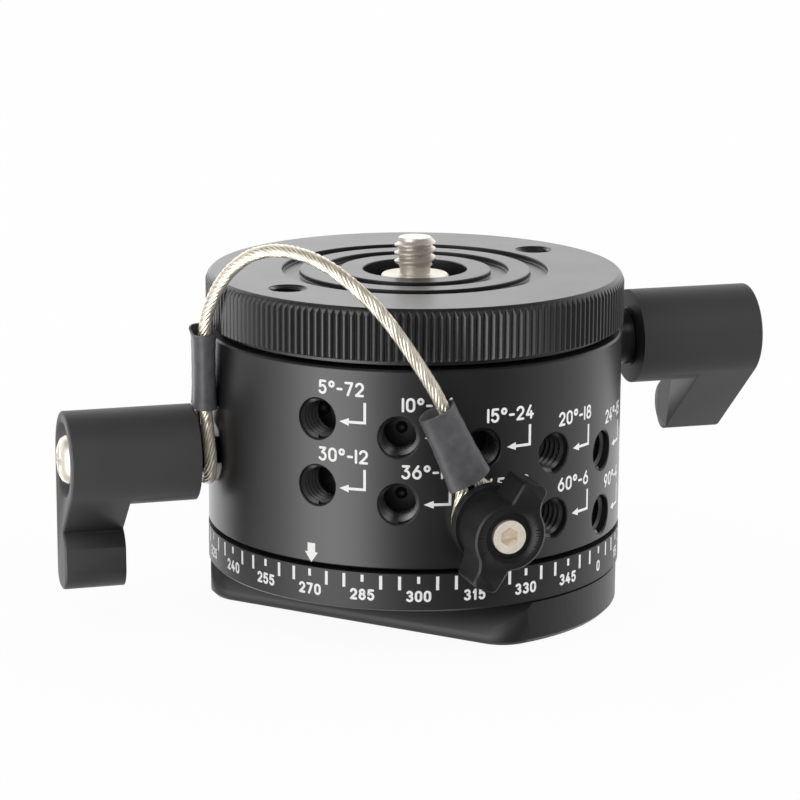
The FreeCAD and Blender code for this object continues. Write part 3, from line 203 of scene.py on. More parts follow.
# %% Helpers for pieces
def make_piece(name, bm, body, slot, material=None, crease_deg=30.0):
    """Turn a bmesh into a finished piece that rides on a body."""
    mesh = bpy.data.meshes.new(name)
    bm.to_mesh(mesh)
    bm.free()
    mesh.materials.append(material or FINISH_OF_SLOT[slot])
    mesh.shade_smooth()
    mesh.set_sharp_from_angle(angle=math.radians(crease_deg))
    piece = bpy.data.objects.new(name, mesh)
    bpy.context.scene.collection.objects.link(piece)
    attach(piece, body)
    print(name, "faces", len(mesh.polygons))
    return piece


def evaluated_mesh(obj):
    """The object's mesh with its modifiers, or its curve, as real faces."""
    bpy.context.view_layer.update()
    graph = bpy.context.evaluated_depsgraph_get()
    return bpy.data.meshes.new_from_object(obj.evaluated_get(graph))


def mesh_of_curve(curve):
    """The mesh that a curve makes, read through an object that lives only for that."""
    holder = bpy.data.objects.new(curve.name, curve)
    bpy.context.scene.collection.objects.link(holder)
    mesh = evaluated_mesh(holder)
    bpy.data.objects.remove(holder)
    return mesh


def add_to(target, bm):
    """Pour one bmesh into another, and free it."""
    mesh = bpy.data.meshes.new("poured")
    bm.to_mesh(mesh)
    bm.free()
    target.from_mesh(mesh)
    bpy.data.meshes.remove(mesh)


# %% [markdown]
# ## The tether's route
# The wire rope springs out of one sleeve, over the head and into the other, held up by its own
# stiffness.  Its middle line is a NURBS curve through a short list of control points, because such a
# curve has no kinks and bends as evenly as spring wire does.

# %% Rope route
ROPE_D = 2.0 * MM
ROPE_ROUTE = [Vector(point) * MM for point in (
    (20.416, -27.849, 36.801),
    (19.53, -28.987, 39.88),
    (17.9, -30.4, 43.4),
    (15.9, -31.6, 47.0),
    (13.4, -32.4, 50.5),
    (10.5, -32.9, 53.5),
    (7.1, -32.9, 55.8),
    (3.4, -32.2, 57.5),
    (-0.4, -31.1, 58.4),
    (-4.4, -30.1, 58.7),
    (-8.5, -29.5, 58.4),
    (-12.5, -29.3, 56.9),
    (-16.0, -29.2, 53.8),
    (-18.4, -28.5, 50.6),
    (-20.687, -27.605, 46.408),
    (-21.008, -27.092, 43.063),
)]


def nurbs_line(points, resolution=10):
    """Points read from the open NURBS spline that has these control points."""
    curve = bpy.data.curves.new("middle_line", "CURVE")
    curve.dimensions = "3D"
    curve.resolution_u = resolution
    spline = curve.splines.new("NURBS")
    spline.points.add(len(points) - 1)
    for place, point in zip(points, spline.points):
        point.co = (*place, 1)
    spline.order_u = 3
    spline.use_endpoint_u = True
    mesh = mesh_of_curve(curve)
    line = [vert.co.copy() for vert in mesh.vertices]
    bpy.data.meshes.remove(mesh)
    return line


def length_of(line):
    """Distance along a row of points."""
    return sum((b - a).length for a, b in zip(line, line[1:]))


rope_line = nurbs_line(ROPE_ROUTE)
print("rope middle line: %d points, %.1f mm" % (len(rope_line), length_of(rope_line) / MM))

# %% [markdown]
# ## Wire rope
# The rope is nine bright outer wires laid right-handed round a core.  A twisted texture on a tube
# could hint at that, but at this size the wires make their own highlights and a scalloped outline.  Each
# wire is a curve that winds round the middle line, given a round section and turned to mesh.

# %% Wire rope helpers
WIRE_COUNT = 9
WIRE_R = 0.26 * MM
WIRE_AXIS_R = ROPE_D / 2 - WIRE_R
CORE_R = 0.52 * MM
LAY_LENGTH = 9.5 * MM  # one turn of a wire round the core
ROPE_CREASE_DEG = 60
FINE_WELD = 0.001 * MM


def frames_along(line):
    """Point, two crosswise directions and distance run, with no twist of their own."""
    along = (line[1] - line[0]).normalized()
    across = along.orthogonal().normalized()
    run = 0.0
    result = []
    for index, point in enumerate(line):
        ahead = line[min(index + 1, len(line) - 1)]
        behind = line[max(index - 1, 0)]
        along = (ahead - behind).normalized()
        across = (across - along * across.dot(along)).normalized()
        run += (point - behind).length
        result.append((point, across, along.cross(across), run))
    return result


def wound_strand(curve, stations, radius, turn):
    """Add one spline that winds round the stations at a radius."""
    spline = curve.splines.new("POLY")
    spline.points.add(len(stations) - 1)
    for (point, across, up, run), place in zip(stations, spline.points):
        angle = turn + run / LAY_LENGTH * 2 * math.pi
        offset = across * math.cos(angle) + up * math.sin(angle)
        place.co = (*(point + offset * radius), 1)


def wire_rope_bmesh(line):
    """The outer wires and a core round a middle line, as one bmesh."""
    stations = frames_along(line)
    bm = bmesh.new()
    for radius, section, count in ((WIRE_AXIS_R, WIRE_R, WIRE_COUNT), (0.0, CORE_R, 1)):
        curve = bpy.data.curves.new("strands", "CURVE")
        curve.dimensions = "3D"
        curve.bevel_depth = section
        curve.bevel_resolution = 1
        curve.use_fill_caps = True
        for index in range(count):
            wound_strand(curve, stations, radius, index * 2 * math.pi / count)
        bm.from_mesh(mesh_of_curve(curve))
    bmesh.ops.remove_doubles(bm, verts=bm.verts, dist=FINE_WELD)
    bmesh.ops.recalc_face_normals(bm, faces=bm.faces)
    return bm


# %% The rope
rope = make_piece("tether_wire_rope", wire_rope_bmesh(rope_line), "housing", "steel_rope",
                  crease_deg=ROPE_CREASE_DEG)
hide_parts("tether_rope")

# %% [markdown]
# ## Eyes and sleeves at the rope's ends
# At each end the rope goes round a pin, comes back beside itself, and a shrunk sleeve hides the crimp.
# Both ends are the same three pieces in another place, so a small class holds that place: one direction
# along the sleeve, one across it, and the eye's middle.

# %% The two ends of the tether
EYE_R = 4.25 * MM
EYE_MIDDLE_OUT = 33.27 * MM
EYE_LEAN = 0.04
STRAND_OFFSET = 1.1 * MM
SLEEVE_LENGTH = 12.1 * MM
SLEEVE_MOUTH = 1.3 * MM
EYE_NECK = 2.2 * MM
EYE_STEPS = 14
EYE_RESOLUTION = 8


class TetherEnd:
    """Where one end of the tether lies: the eye's middle, and the ways along and across its sleeve."""

    def __init__(self, azimuth_deg, height, tilt_deg, reach):
        azimuth = math.radians(azimuth_deg)
        radial = Vector((math.cos(azimuth), math.sin(azimuth), 0))
        tangent = Vector((-math.sin(azimuth), math.cos(azimuth), 0))
        up = Vector((0, 0, 1))
        tilt = math.radians(tilt_deg)
        self.along = (up * math.cos(tilt) - tangent * math.sin(tilt) + radial * EYE_LEAN).normalized()
        self.across = (tangent * math.cos(tilt) + up * math.sin(tilt)).normalized()
        self.out = self.across.cross(self.along).normalized()
        self.middle = radial * EYE_MIDDLE_OUT + up * height
        self.reach = reach

    def at(self, across, along, out=0.0):
        """A place counted from the eye's middle, across and along the sleeve and out of the head."""
        return self.middle + self.across * across + self.along * along + self.out * out

    def eye_line(self):
        """Up one strand, round the pin and back up the other."""
        entry = self.reach + SLEEVE_MOUTH
        bend = entry - EYE_NECK
        touch = math.atan2(STRAND_OFFSET, bend) + math.acos(EYE_R / math.hypot(STRAND_OFFSET, bend))
        points = [self.at(STRAND_OFFSET, entry), self.at(STRAND_OFFSET, bend)]
        sweep = 2 * (math.pi - touch)
        for step in range(EYE_STEPS + 1):
            angle = touch + sweep * step / EYE_STEPS
            points.append(self.at(EYE_R * math.sin(angle), EYE_R * math.cos(angle)))
        points += [self.at(-STRAND_OFFSET, bend), self.at(-STRAND_OFFSET, entry)]
        return nurbs_line(points, EYE_RESOLUTION)


plunger_end = TetherEnd(azimuth_deg=316.7, height=20.76 * MM, tilt_deg=25.0, reach=6.4 * MM)
lever_end = TetherEnd(azimuth_deg=225.0, height=25.0 * MM, tilt_deg=-10.0, reach=7.75 * MM)
ENDS = {"plunger_tether": plunger_end, "lever_tether": lever_end}
for name, end in ENDS.items():
    eye = make_piece(name + "_eye_wires", wire_rope_bmesh(end.eye_line()), "housing", "steel_rope",
                     crease_deg=ROPE_CREASE_DEG)
    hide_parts(name + "_eye")

# %% [markdown]
# ## Shrink sleeves
# Heat-shrink tube grips the crimp and the two strands but stands open past them, with a wavy lip cut a
# little askew.  A sculpted block could have those folds, but a tube made by rule keeps an even wall.  A
# circle is extruded station by station, each ring is pressed to a rounded flat section, and the solidify
# operator gives the wall its thickness, so that the open mouths show an edge.

# %% Shrink sleeves
SLEEVE_HALF_W = 2.6 * MM
SLEEVE_HALF_T = 1.5 * MM
SLEEVE_WALL = 0.3 * MM
SLEEVE_SEGMENTS = 56
SLEEVE_STATIONS = 22
SLEEVE_CREASE_DEG = 45
OVAL = 0.92            # 1 is an ellipse, less is squarer
MOUTH_SHARE = 0.16     # how much of the length each mouth takes
FLARE_LOW = 0.1
FLARE_HIGH = 0.2
WAIST = 0.04           # how much the middle is drawn in
RIPPLE = 0.01
CREASE_DEPTH = 0.07    # between the two strands
CREASE_HALF_W = 0.7 * MM
LIP_WAVE = 0.1 * MM
SKEW_AND_SPREAD = {"plunger_tether": (0.06, 0.2), "lever_tether": (-0.03, 0.0)}


def rounded(value):
    """A sine or cosine, bent so that the section's sides are fuller than an ellipse's."""
    return math.copysign(abs(value) ** OVAL, value)


def sleeve_bmesh(end, skew, spread):
    """Open oval tube along one end of the tether; skew slants its cuts, and spread widens it below."""
    bm = bmesh.new()
    bmesh.ops.create_circle(bm, segments=SLEEVE_SEGMENTS, radius=1.0)
    edges = list(bm.edges)
    for _ in range(SLEEVE_STATIONS):
        grown = bmesh.ops.extrude_edge_only(bm, edges=edges)["geom"]
        ring = [item for item in grown if isinstance(item, bmesh.types.BMVert)]
        bmesh.ops.translate(bm, verts=ring, vec=(0, 0, 1.0 / SLEEVE_STATIONS))
        edges = [item for item in grown if isinstance(item, bmesh.types.BMEdge)]
    for vert in bm.verts:
        share = vert.co.z
        angle = math.atan2(vert.co.y, vert.co.x)
        low = max(0, 1 - share / MOUTH_SHARE) ** 2
        high = max(0, 1 - (1 - share) / MOUTH_SHARE) ** 2
        waist = 1 - WAIST * math.sin(share * math.pi) + RIPPLE * math.sin(9 * share * math.pi + 2 * angle)
        wide = 1 + spread * (1 - share)
        across = SLEEVE_HALF_W * waist * (wide * rounded(math.cos(angle)) + 0.5 * spread * (1 - share))
        crease = 1 - CREASE_DEPTH * math.exp(-(across / CREASE_HALF_W) ** 2)
        flare = 1 + FLARE_LOW * low + FLARE_HIGH * high
        out = SLEEVE_HALF_T * waist * crease * rounded(math.sin(angle)) * flare
        wave = LIP_WAVE * math.sin(3 * angle + 1.0) * abs(share - 0.5) * 2
        vert.co = end.at(across, end.reach + share * SLEEVE_LENGTH + skew * across + wave, out)
    bmesh.ops.recalc_face_normals(bm, faces=bm.faces)
    bmesh.ops.solidify(bm, geom=bm.faces, thickness=SLEEVE_WALL)
    return bm


for name, end in ENDS.items():
    sleeve = make_piece(name + "_shrink_sleeve", sleeve_bmesh(end, *SKEW_AND_SPREAD[name]), "housing",
                        "heat_shrink", crease_deg=SLEEVE_CREASE_DEG)
    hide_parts(name + "_sleeve")

# %% [markdown]
# ## The rope's facts
# The rope's length is its middle line's, and both its ends go back into the head through a ferrule.  The
# eyes and sleeves belong to it, so they are named with it.

# %% [markdown]
# ## Finished copies of the machined pieces
# A CAD mesh is made of loose triangles, so light shows every facet.  A copy with its points merged can
# be shaded smooth.  On a large turned wall even small facets show in the reflections, so there the
# normals are set to point exactly away from the axis.

# %% Helpers for finished copies
WELD = 0.0005 * MM
ON_WALL = 0.012 * MM   # how far from the radius a point may lie and still be on the wall
LEAN = 0.2             # how far up or down an upright wall's normal may point
MACHINED_CREASE_DEG = 24


def welded_copy(node_name):
    """The CAD node's mesh with its points merged, as a bmesh."""
    bm = bmesh.new()
    bm.from_mesh(nodes[node_name].data)
    bmesh.ops.remove_doubles(bm, verts=bm.verts, dist=WELD)
    bmesh.ops.dissolve_degenerate(bm, edges=bm.edges, dist=WELD)
    return bm


def true_round(piece, radius):
    """Point the normals of every face on a cylinder about Z straight away from the axis."""
    mesh = piece.data
    normals = [n.vector.copy() for n in mesh.corner_normals]
    count = 0
    for face in mesh.polygons:
        on_wall = all(abs(mesh.vertices[v].co.xy.length - radius) < ON_WALL for v in face.vertices)
        if on_wall and abs(face.normal.z) < LEAN:
            count += 1
            for corner in face.loop_indices:
                place = mesh.vertices[mesh.loops[corner].vertex_index].co
                outward = Vector((place.x, place.y, 0)).normalized()
                normals[corner] = outward if outward.dot(face.normal) > 0 else -outward
    mesh.normals_split_custom_set(normals)
    print("  trued", count, "faces at radius %.2f mm" % (radius / MM))


def finished(node_name, material=None):
    """A smooth copy that stands in for its CAD node."""
    piece = make_piece(node_name + "_finished", welded_copy(node_name), body_of[node_name],
                       slot_of[node_name], material, crease_deg=MACHINED_CREASE_DEG)
    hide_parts(node_name)
    return piece


# %% [markdown]
# ## Machined pieces in view
# The foot, the ring, the levers, the knob and the screws have the right shape in the frame, and only want
# smooth shading and their finish.  The levers and the knob take a black of their own, and the ring and foot
# one that reflects less, as painted shade.  The screws' heads have a pale cream colour that is a painted
# reflection.
# Pieces that nobody sees stay as the frame has them.

# %% Machined pieces
IN_VIEW = ("foot_plate", "foot_screws", "spindle", "scale_ring", "stud_plate", "lower_lever",
           "upper_lever", "lower_lever_stud", "upper_lever_stud", "lower_lever_screw",
           "upper_lever_screw", "lower_lever_spring", "upper_lever_spring", "upper_lever_washers",
           "plunger_body", "plunger_knob", "preload_screw", "detent_spring")
OWN_FINISH = {"lower_lever": lever_anodised, "upper_lever": lever_anodised, "foot_plate": ring_anodised_painted_shade,
              "scale_ring": ring_anodised_painted_shade, "plunger_knob": knob_anodised, "preload_screw": screw_painted_reflection,
              "lower_lever_screw": screw_painted_reflection, "upper_lever_screw": screw_painted_reflection}
finished_pieces = {name: finished(name, OWN_FINISH.get(name)) for name in IN_VIEW}
RING_R = 31.95 * MM
true_round(finished_pieces["scale_ring"], RING_R)

# %% [markdown]
# ## Springs
# The levers' lift springs and the click pin's spring are pressed as their joints move.  Here each one is
# only given a mesh of its own and stays stiff, so a lifted lever cuts through its spring.

# %% Springs
LEVER_LIFT = 3.0 * MM
CLICK_LIFT = 0.8 * MM
for node, joint, lift in (("lower_lever_spring", "lower_lever_lift", LEVER_LIFT),
                          ("upper_lever_spring", "upper_lever_lift", LEVER_LIFT),
                          ("detent_spring", "detent_click", CLICK_LIFT)):
    spring = finished_pieces[node]
    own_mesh(spring)

# %% [markdown]
# ## Cutting holes and their threads
# A tapped hole is a bore with a helical ridge on its wall.  Bump could fake the ridge, but light falls
# into the holes at a slant and picks out its crests.  The bore is cut with a Boolean, and the ridge is a
# small face spun round the hole's axis while it advances by one pitch a turn, which is what the spin
# operator's dvec does.

# %% Helpers for holes and threads
THREAD_STEPS = 28
CUTTER_STEPS = 64
CUTTER_WELD = 0.0001 * MM
POKE = 1.0 * MM        # how far a cutter stands out of the surface
RIDGE_SUNK = 0.05 * MM
RIDGE_SHARES = (0.06, 0.42, 0.56, 0.94)    # where the ridge's corners lie in one pitch
LAST_THREAD = 0.5 * MM


def cutter(bm, section, place):
    """A closed turned shape about +Z, from a section of (radius, height) that starts and ends at 0."""
    verts = [bm.verts.new((radius, 0, height)) for radius, height in section]
    edges = [bm.edges.new(pair) for pair in zip(verts, verts[1:])]
    before = set(bm.verts) - set(verts)
    bmesh.ops.spin(bm, geom=verts + edges, cent=(0, 0, 0), axis=(0, 0, 1), angle=2 * math.pi,
                   steps=CUTTER_STEPS, use_merge=True)
    made = [vert for vert in bm.verts if vert not in before]
    bmesh.ops.transform(bm, matrix=place, verts=made)
    bmesh.ops.remove_doubles(bm, verts=made, dist=CUTTER_WELD)


def thread_ridge(bm, major_r, minor_r, pitch, depth, place):
    """A helical ridge on a bore's wall, from the bottom of the bore up to its mouth at the origin."""
    sunk = major_r + RIDGE_SUNK
    corners = zip((sunk, minor_r, minor_r, sunk), RIDGE_SHARES)
    verts = [bm.verts.new((radius, 0, share * pitch - depth)) for radius, share in corners]
    face = bm.faces.new(verts)
    turns = int((depth - LAST_THREAD) / pitch)
    before = set(bm.verts) - set(verts)
    bmesh.ops.spin(bm, geom=[face] + list(face.edges) + verts, cent=(0, 0, 0), axis=(0, 0, 1),
                   dvec=(0, 0, pitch / THREAD_STEPS), angle=2 * math.pi * turns,
                   steps=THREAD_STEPS * turns)
    bmesh.ops.transform(bm, matrix=place, verts=[vert for vert in bm.verts if vert not in before])


def subtract(bm, cutters):
    """Cut closed shapes out of a closed bmesh, and return the new bmesh."""
    objects = []
    for name, source in (("workpiece", bm), ("cutters", cutters)):
        bmesh.ops.recalc_face_normals(source, faces=source.faces)
        mesh = bpy.data.meshes.new(name)
        source.to_mesh(mesh)
        source.free()
        objects.append(bpy.data.objects.new(name, mesh))
        bpy.context.scene.collection.objects.link(objects[-1])
    boolean = objects[0].modifiers.new("cut", "BOOLEAN")
    boolean.operation = "DIFFERENCE"
    boolean.solver = "EXACT"
    boolean.object = objects[1]
    result = bmesh.new()
    result.from_mesh(evaluated_mesh(objects[0]))
    for obj in objects:
        bpy.data.objects.remove(obj)
    return result


def outwards(azimuth_deg, radius, height):
    """Place that turns +Z to point away from the axis, at a radius and height."""
    return (Matrix.Rotation(math.radians(azimuth_deg), 4, "Z")
            @ Matrix.Translation((radius, 0, height)) @ Matrix.Rotation(math.pi / 2, 4, "Y"))


# %% [markdown]
# ## Housing
# The housing is a thick turned sleeve with ten tapped holes.  It could be turned and drilled anew, but a
# welded copy of the frame's housing already has its bores for the bearing and the levers, so only the ten
# holes are opened to their full thread size.  Nine of them get a cut ridge in a dark grey that paints the
# shade inside the holes, and the one that the plunger fills needs none.

# %% Housing
HOUSING_R = 31.9 * MM
HOUSING_WALL = 6.3 * MM
HOLE_FIRST_DEG = 272.2
HOLE_STEP_DEG = 22.25
HOLE_TOP_Z = 34.76 * MM
HOLE_DROP = 2.0 * MM
HOLE_MAJOR_R = 2.96 * MM
HOLE_MINOR_R = 2.5 * MM
HOLE_PITCH = 1.0 * MM
COLUMNS = 5
HOLE_COUNT = 10
PLUNGER_HOLE = 7
HOLES = [(HOLE_FIRST_DEG + (index % COLUMNS) * HOLE_STEP_DEG, HOLE_TOP_Z - index * HOLE_DROP)
         for index in range(HOLE_COUNT)]
hole_cutters = bmesh.new()
hole_threads = bmesh.new()
hole_end = -HOUSING_WALL - POKE
hole_section = ((0, hole_end), (HOLE_MAJOR_R, hole_end), (HOLE_MAJOR_R, POKE), (0, POKE))
for index, (azimuth, height) in enumerate(HOLES):
    place = outwards(azimuth, HOUSING_R, height)
    cutter(hole_cutters, hole_section, place)
    if index != PLUNGER_HOLE:
        thread_ridge(hole_threads, HOLE_MAJOR_R, HOLE_MINOR_R, HOLE_PITCH, HOUSING_WALL, place)
housing = make_piece("housing_finished", subtract(welded_copy("housing"), hole_cutters), "housing",
                     "black_anodised", crease_deg=MACHINED_CREASE_DEG)
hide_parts("housing")
# The ridges take the dark grey of painted shade.
make_piece("hole_threads", hole_threads, "housing", "aluminium", thread_painted_shade)
true_round(housing, HOUSING_R)

# %% [markdown]
# ## Turned pieces and a knurl
# A turned piece is a section swept round an axis, with its corners broken by a small chamfer.  A Screw
# modifier could sweep it, but bmesh's spin keeps the work in one mesh.  For a knurl, spinning the whole
# rim in hundreds of steps is slow, so one rib is spun, grooved and then copied round.

# %% Helpers for turned pieces
TURNED_WELD = 0.002 * MM
CORNER_REACH = 0.4     # a chamfer takes at most this share of the edge beside it


def eased(section, ease, least_turn_deg=40.0):
    """Replace each clear corner of a closed section, in millimetres, by a small chamfer."""
    points = [Vector(place) for place in section]
    result = []
    for index, corner in enumerate(points):
        before = points[index - 1] - corner
        after = points[(index + 1) % len(points)] - corner
        turn = math.pi - before.angle(after)
        if turn > math.radians(least_turn_deg):
            reach = min(ease, CORNER_REACH * before.length, CORNER_REACH * after.length)
            result += [corner + before.normalized() * reach, corner + after.normalized() * reach]
        else:
            result.append(corner)
    return result


def closed_loop(bm, section):
    """A closed section of (radius, height) in millimetres, as the points and edges of a loop."""
    verts = [bm.verts.new((radius * MM, 0, height * MM)) for radius, height in section]
    return verts + [bm.edges.new(pair) for pair in zip(verts, verts[1:] + verts[:1])]


def spun(section, steps):
    """A closed section spun round the axis into a solid ring."""
    bm = bmesh.new()
    bmesh.ops.spin(bm, geom=closed_loop(bm, section), cent=(0, 0, 0), axis=(0, 0, 1), angle=2 * math.pi,
                   steps=steps, use_merge=True)
    bmesh.ops.remove_doubles(bm, verts=bm.verts, dist=TURNED_WELD)
    bmesh.ops.recalc_face_normals(bm, faces=bm.faces)
    return bm


def knurled(section, ribs, shares, rim_r, depth):
    """One rib of a closed section, spun and grooved, then set all the way round."""
    rib = bmesh.new()
    bmesh.ops.spin(rib, geom=closed_loop(rib, section), cent=(0, 0, 0), axis=(0, 0, 1),
                   angle=2 * math.pi / ribs, steps=len(shares))
    for vert in rib.verts:
        radius = vert.co.xy.length
        step = round(math.atan2(vert.co.y, vert.co.x) * ribs * len(shares) / (2 * math.pi))
        limit = rim_r - depth * shares[step % len(shares)]
        if radius > limit:
            vert.co.xy *= limit / radius
    mesh = bpy.data.meshes.new("rib")
    rib.to_mesh(mesh)
    rib.free()
    bm = bmesh.new()
    for _ in range(ribs):
        bm.from_mesh(mesh)
        mesh.transform(Matrix.Rotation(2 * math.pi / ribs, 4, "Z"))
    bpy.data.meshes.remove(mesh)
    bmesh.ops.remove_doubles(bm, verts=bm.verts, dist=TURNED_WELD)
    bmesh.ops.recalc_face_normals(bm, faces=bm.faces)
    return bm


# %% [markdown]
# ## Platform
# The platform is turned, and its rim is knurled with 180 straight V grooves.  The knurl could be a bump,
# but its ribs notch the outline and run out in small points over the rounded rim, so they are real.  A
# rib takes eight steps, and the points on its rim are drawn in where the groove passes.  The section
# goes round the platform in one loop: from the journal in the bearing, past the V groove that the upper
# lever's plug grips, over the rim to the ring grooves in the face and the recess round the stud.

# %% Platform's shape
KNURL_R = 32.1 * MM
KNURL_DEPTH = 0.42 * MM
KNURL_RIBS = 180
GROOVE_SHARE = (0.0, 0.0, 0.33, 0.67, 1.0, 0.67, 0.33, 0.0)    # depth of each step of a rib and its groove
# The section's stretches, as (radius, height) in millimetres.
FACE = 51.68
GROOVE_FLOOR = 50.88
JOURNAL = ((7.4, 30.0), (11.0, 30.0), (11.0, 37.1), (20.0, 37.1))
V_GROOVE = ((20.0, 37.75), (19.0, 38.75), (19.0, 39.55), (20.0, 40.55))
UNDERSIDE = ((20.0, 43.1), (30.6, 43.1), (30.6, 43.95), (31.95, 43.95))
RIM = ((32.1, 44.1), (32.1, 50.4), (32.0, 50.65), (31.9, 50.9), (31.8, 51.15), (31.62, 51.36),
       (31.42, 51.54), (31.2, FACE))
RING_GROOVES = ((20.4, FACE), (20.4, GROOVE_FLOOR), (17.67, GROOVE_FLOOR), (17.67, FACE),
                (14.36, FACE), (14.36, GROOVE_FLOOR), (11.61, GROOVE_FLOOR), (11.61, FACE))
RECESS = ((8.0, FACE), (8.0, 43.2), (7.4, 43.2))
PLATFORM_SECTION = JOURNAL + V_GROOVE + UNDERSIDE + RIM + RING_GROOVES + RECESS
PLATFORM_EASE = 0.12
platform_bm = knurled(eased(PLATFORM_SECTION, PLATFORM_EASE), KNURL_RIBS, GROOVE_SHARE, KNURL_R,
                      KNURL_DEPTH)
print("platform:", len(PLATFORM_SECTION), "corners in section,", KNURL_RIBS, "ribs")

# %% Platform's holes
TOP_HOLE_R = 25.0 * MM
TOP_HOLE_DEG = 69.7
TOP_HOLE_DEPTH = 8.6 * MM
TOP_MAJOR_R = 2.46 * MM
TOP_MINOR_R = 2.1 * MM
TOP_PITCH = 0.8 * MM
TOP_MOUTH = 0.5 * MM
KNURLED_CREASE_DEG = 20
top_end = -TOP_HOLE_DEPTH - POKE
top_section = ((0, top_end), (TOP_MAJOR_R, top_end), (TOP_MAJOR_R, -TOP_MOUTH),
               (TOP_MAJOR_R + TOP_MOUTH + POKE, POKE), (0, POKE))
top_cutters = bmesh.new()
top_threads = bmesh.new()
for turn in (0, 180):
    place = (Matrix.Rotation(math.radians(TOP_HOLE_DEG + turn), 4, "Z")
             @ Matrix.Translation((TOP_HOLE_R, 0, FACE * MM)))
    cutter(top_cutters, top_section, place)
    thread_ridge(top_threads, TOP_MAJOR_R, TOP_MINOR_R, TOP_PITCH, TOP_HOLE_DEPTH, place)
platform = make_piece("platform_knurled", subtract(platform_bm, top_cutters), "platform", "black_anodised",
                      crease_deg=KNURLED_CREASE_DEG)
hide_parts("platform")
make_piece("platform_hole_threads", top_threads, "platform", "black_anodised")

# %% [markdown]
# ## Camera stud
# The stud is a quarter inch screw with 20 threads to the inch, cut in one piece with its flange.  Rings
# stacked on a rod would look like a thread from afar, but its crests have to rise as they go round.  So
# the thread's section is spun with an advance of one pitch a turn and welded to itself, then trimmed flat
# at both ends and drawn in to a cone at its tip.

# %% Stud's thread
STUD_R = 3.175 * MM
STUD_ROOT_R = 2.5 * MM
STUD_PITCH = 1.27 * MM
STUD_LOW = 52.15 * MM
STUD_TOP = 56.6 * MM
STUD_TIP = 0.75 * MM
STUD_STEPS = 72
STUD_TURNS = 6
STUD_RUN_UP = 1.5      # pitches of thread below the part that is kept
STUD_START_SLOPE = 1.2
STUD_WELD = 0.005 * MM
THREAD_SECTION = ((STUD_ROOT_R, 0.0), (STUD_R, 0.32), (STUD_R, 0.52), (STUD_ROOT_R, 0.84),
                  (STUD_ROOT_R, 1.0))
stud_bm = bmesh.new()
thread_verts = [stud_bm.verts.new((radius, 0, STUD_LOW - STUD_RUN_UP * STUD_PITCH + share * STUD_PITCH))
                for radius, share in THREAD_SECTION]
thread_edges = [stud_bm.edges.new(pair) for pair in zip(thread_verts, thread_verts[1:])]
bmesh.ops.spin(stud_bm, geom=thread_verts + thread_edges, cent=(0, 0, 0), axis=(0, 0, 1),
               dvec=(0, 0, STUD_PITCH / STUD_STEPS), angle=2 * math.pi * STUD_TURNS,
               steps=STUD_STEPS * STUD_TURNS)
bmesh.ops.remove_doubles(stud_bm, verts=stud_bm.verts, dist=STUD_WELD)
for cut_z, up in ((STUD_LOW, -1), (STUD_TOP, 1)):
    bmesh.ops.bisect_plane(stud_bm, geom=stud_bm.verts[:] + stud_bm.edges[:] + stud_bm.faces[:],
                           plane_co=(0, 0, cut_z), plane_no=(0, 0, up), clear_outer=True)
    rim = [edge for edge in stud_bm.edges
           if edge.is_boundary and abs(edge.verts[0].co.z - cut_z) < FINE_WELD]
    bmesh.ops.holes_fill(stud_bm, edges=rim)
for vert in stud_bm.verts:
    allowed = STUD_R - max(0.0, vert.co.z - (STUD_TOP - STUD_TIP))
    allowed = min(allowed, STUD_ROOT_R + max(0.0, vert.co.z - STUD_LOW) * STUD_START_SLOPE)
    if vert.co.xy.length > allowed:
        vert.co.xy *= allowed / vert.co.xy.length
print("stud's thread: %d turns of %.2f mm" % (STUD_TURNS, STUD_PITCH / MM))

# %% Stud's shank and flange
# as (radius, height) in millimetres, from the axis out and back to it
STUD_SECTION = ((0.01, 43.7), (3.0, 43.7), (3.0, 48.2), (5.2, 48.2), (5.2, 50.65), (5.0, 50.85),
                (2.5, 50.85), (2.35, 51.0), (2.35, 51.9), (2.5, 52.2), (0.01, 52.2))
SHANK_STEPS = 96
SHANK_EASE = 0.06
add_to(stud_bm, spun(eased(STUD_SECTION, SHANK_EASE, least_turn_deg=60), SHANK_STEPS))
bmesh.ops.recalc_face_normals(stud_bm, faces=stud_bm.faces)
stud = make_piece("camera_stud_threaded", stud_bm, "platform", "stainless_steel")
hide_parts("camera_stud")

# %% [markdown]
# ## Printed marks
# Scale, numbers, labels and arrows are screen-printed in white.  An image could carry them, but each
# mark can be real: a flat shape of ink a few hundredths of a millimetre thick, drawn on a plane, sliced
# so that it can bend, and rolled on to the round wall.

# %% Helpers for printed marks
INK_SUNK = 0.02 * MM
INK_PROUD = 0.02 * MM
SLICE = 0.5 * MM
SLICE_WELD = 0.0001 * MM
INK_CREASE_DEG = 60


def rolled(bm, radius, azimuth_deg, height):
    """Slice a flat mark upright and roll it from the XY plane on to a cylinder about Z."""
    places = [vert.co.x for vert in bm.verts]
    cut = math.floor(min(places) / SLICE) * SLICE + SLICE
    while cut < max(places):
        bmesh.ops.bisect_plane(bm, geom=bm.verts[:] + bm.edges[:] + bm.faces[:],
                               plane_co=(cut, 0, 0), plane_no=(1, 0, 0), dist=SLICE_WELD)
        cut += SLICE
    for vert in bm.verts:
        angle = math.radians(azimuth_deg) + vert.co.x / radius
        out = radius + vert.co.z
        vert.co = (out * math.cos(angle), out * math.sin(angle), height + vert.co.y)


def ink_box(bm, x_low, x_high, y_low, y_high):
    """Rectangle between two corners, as a thin plate of ink."""
    made = bmesh.ops.create_cube(bm, size=1.0)
    middle = Vector(((x_low + x_high) / 2, (y_low + y_high) / 2, (INK_PROUD - INK_SUNK) / 2))
    size = Vector((x_high - x_low, y_high - y_low, INK_PROUD + INK_SUNK))
    bmesh.ops.scale(bm, vec=size, verts=made["verts"])
    bmesh.ops.translate(bm, vec=middle, verts=made["verts"])


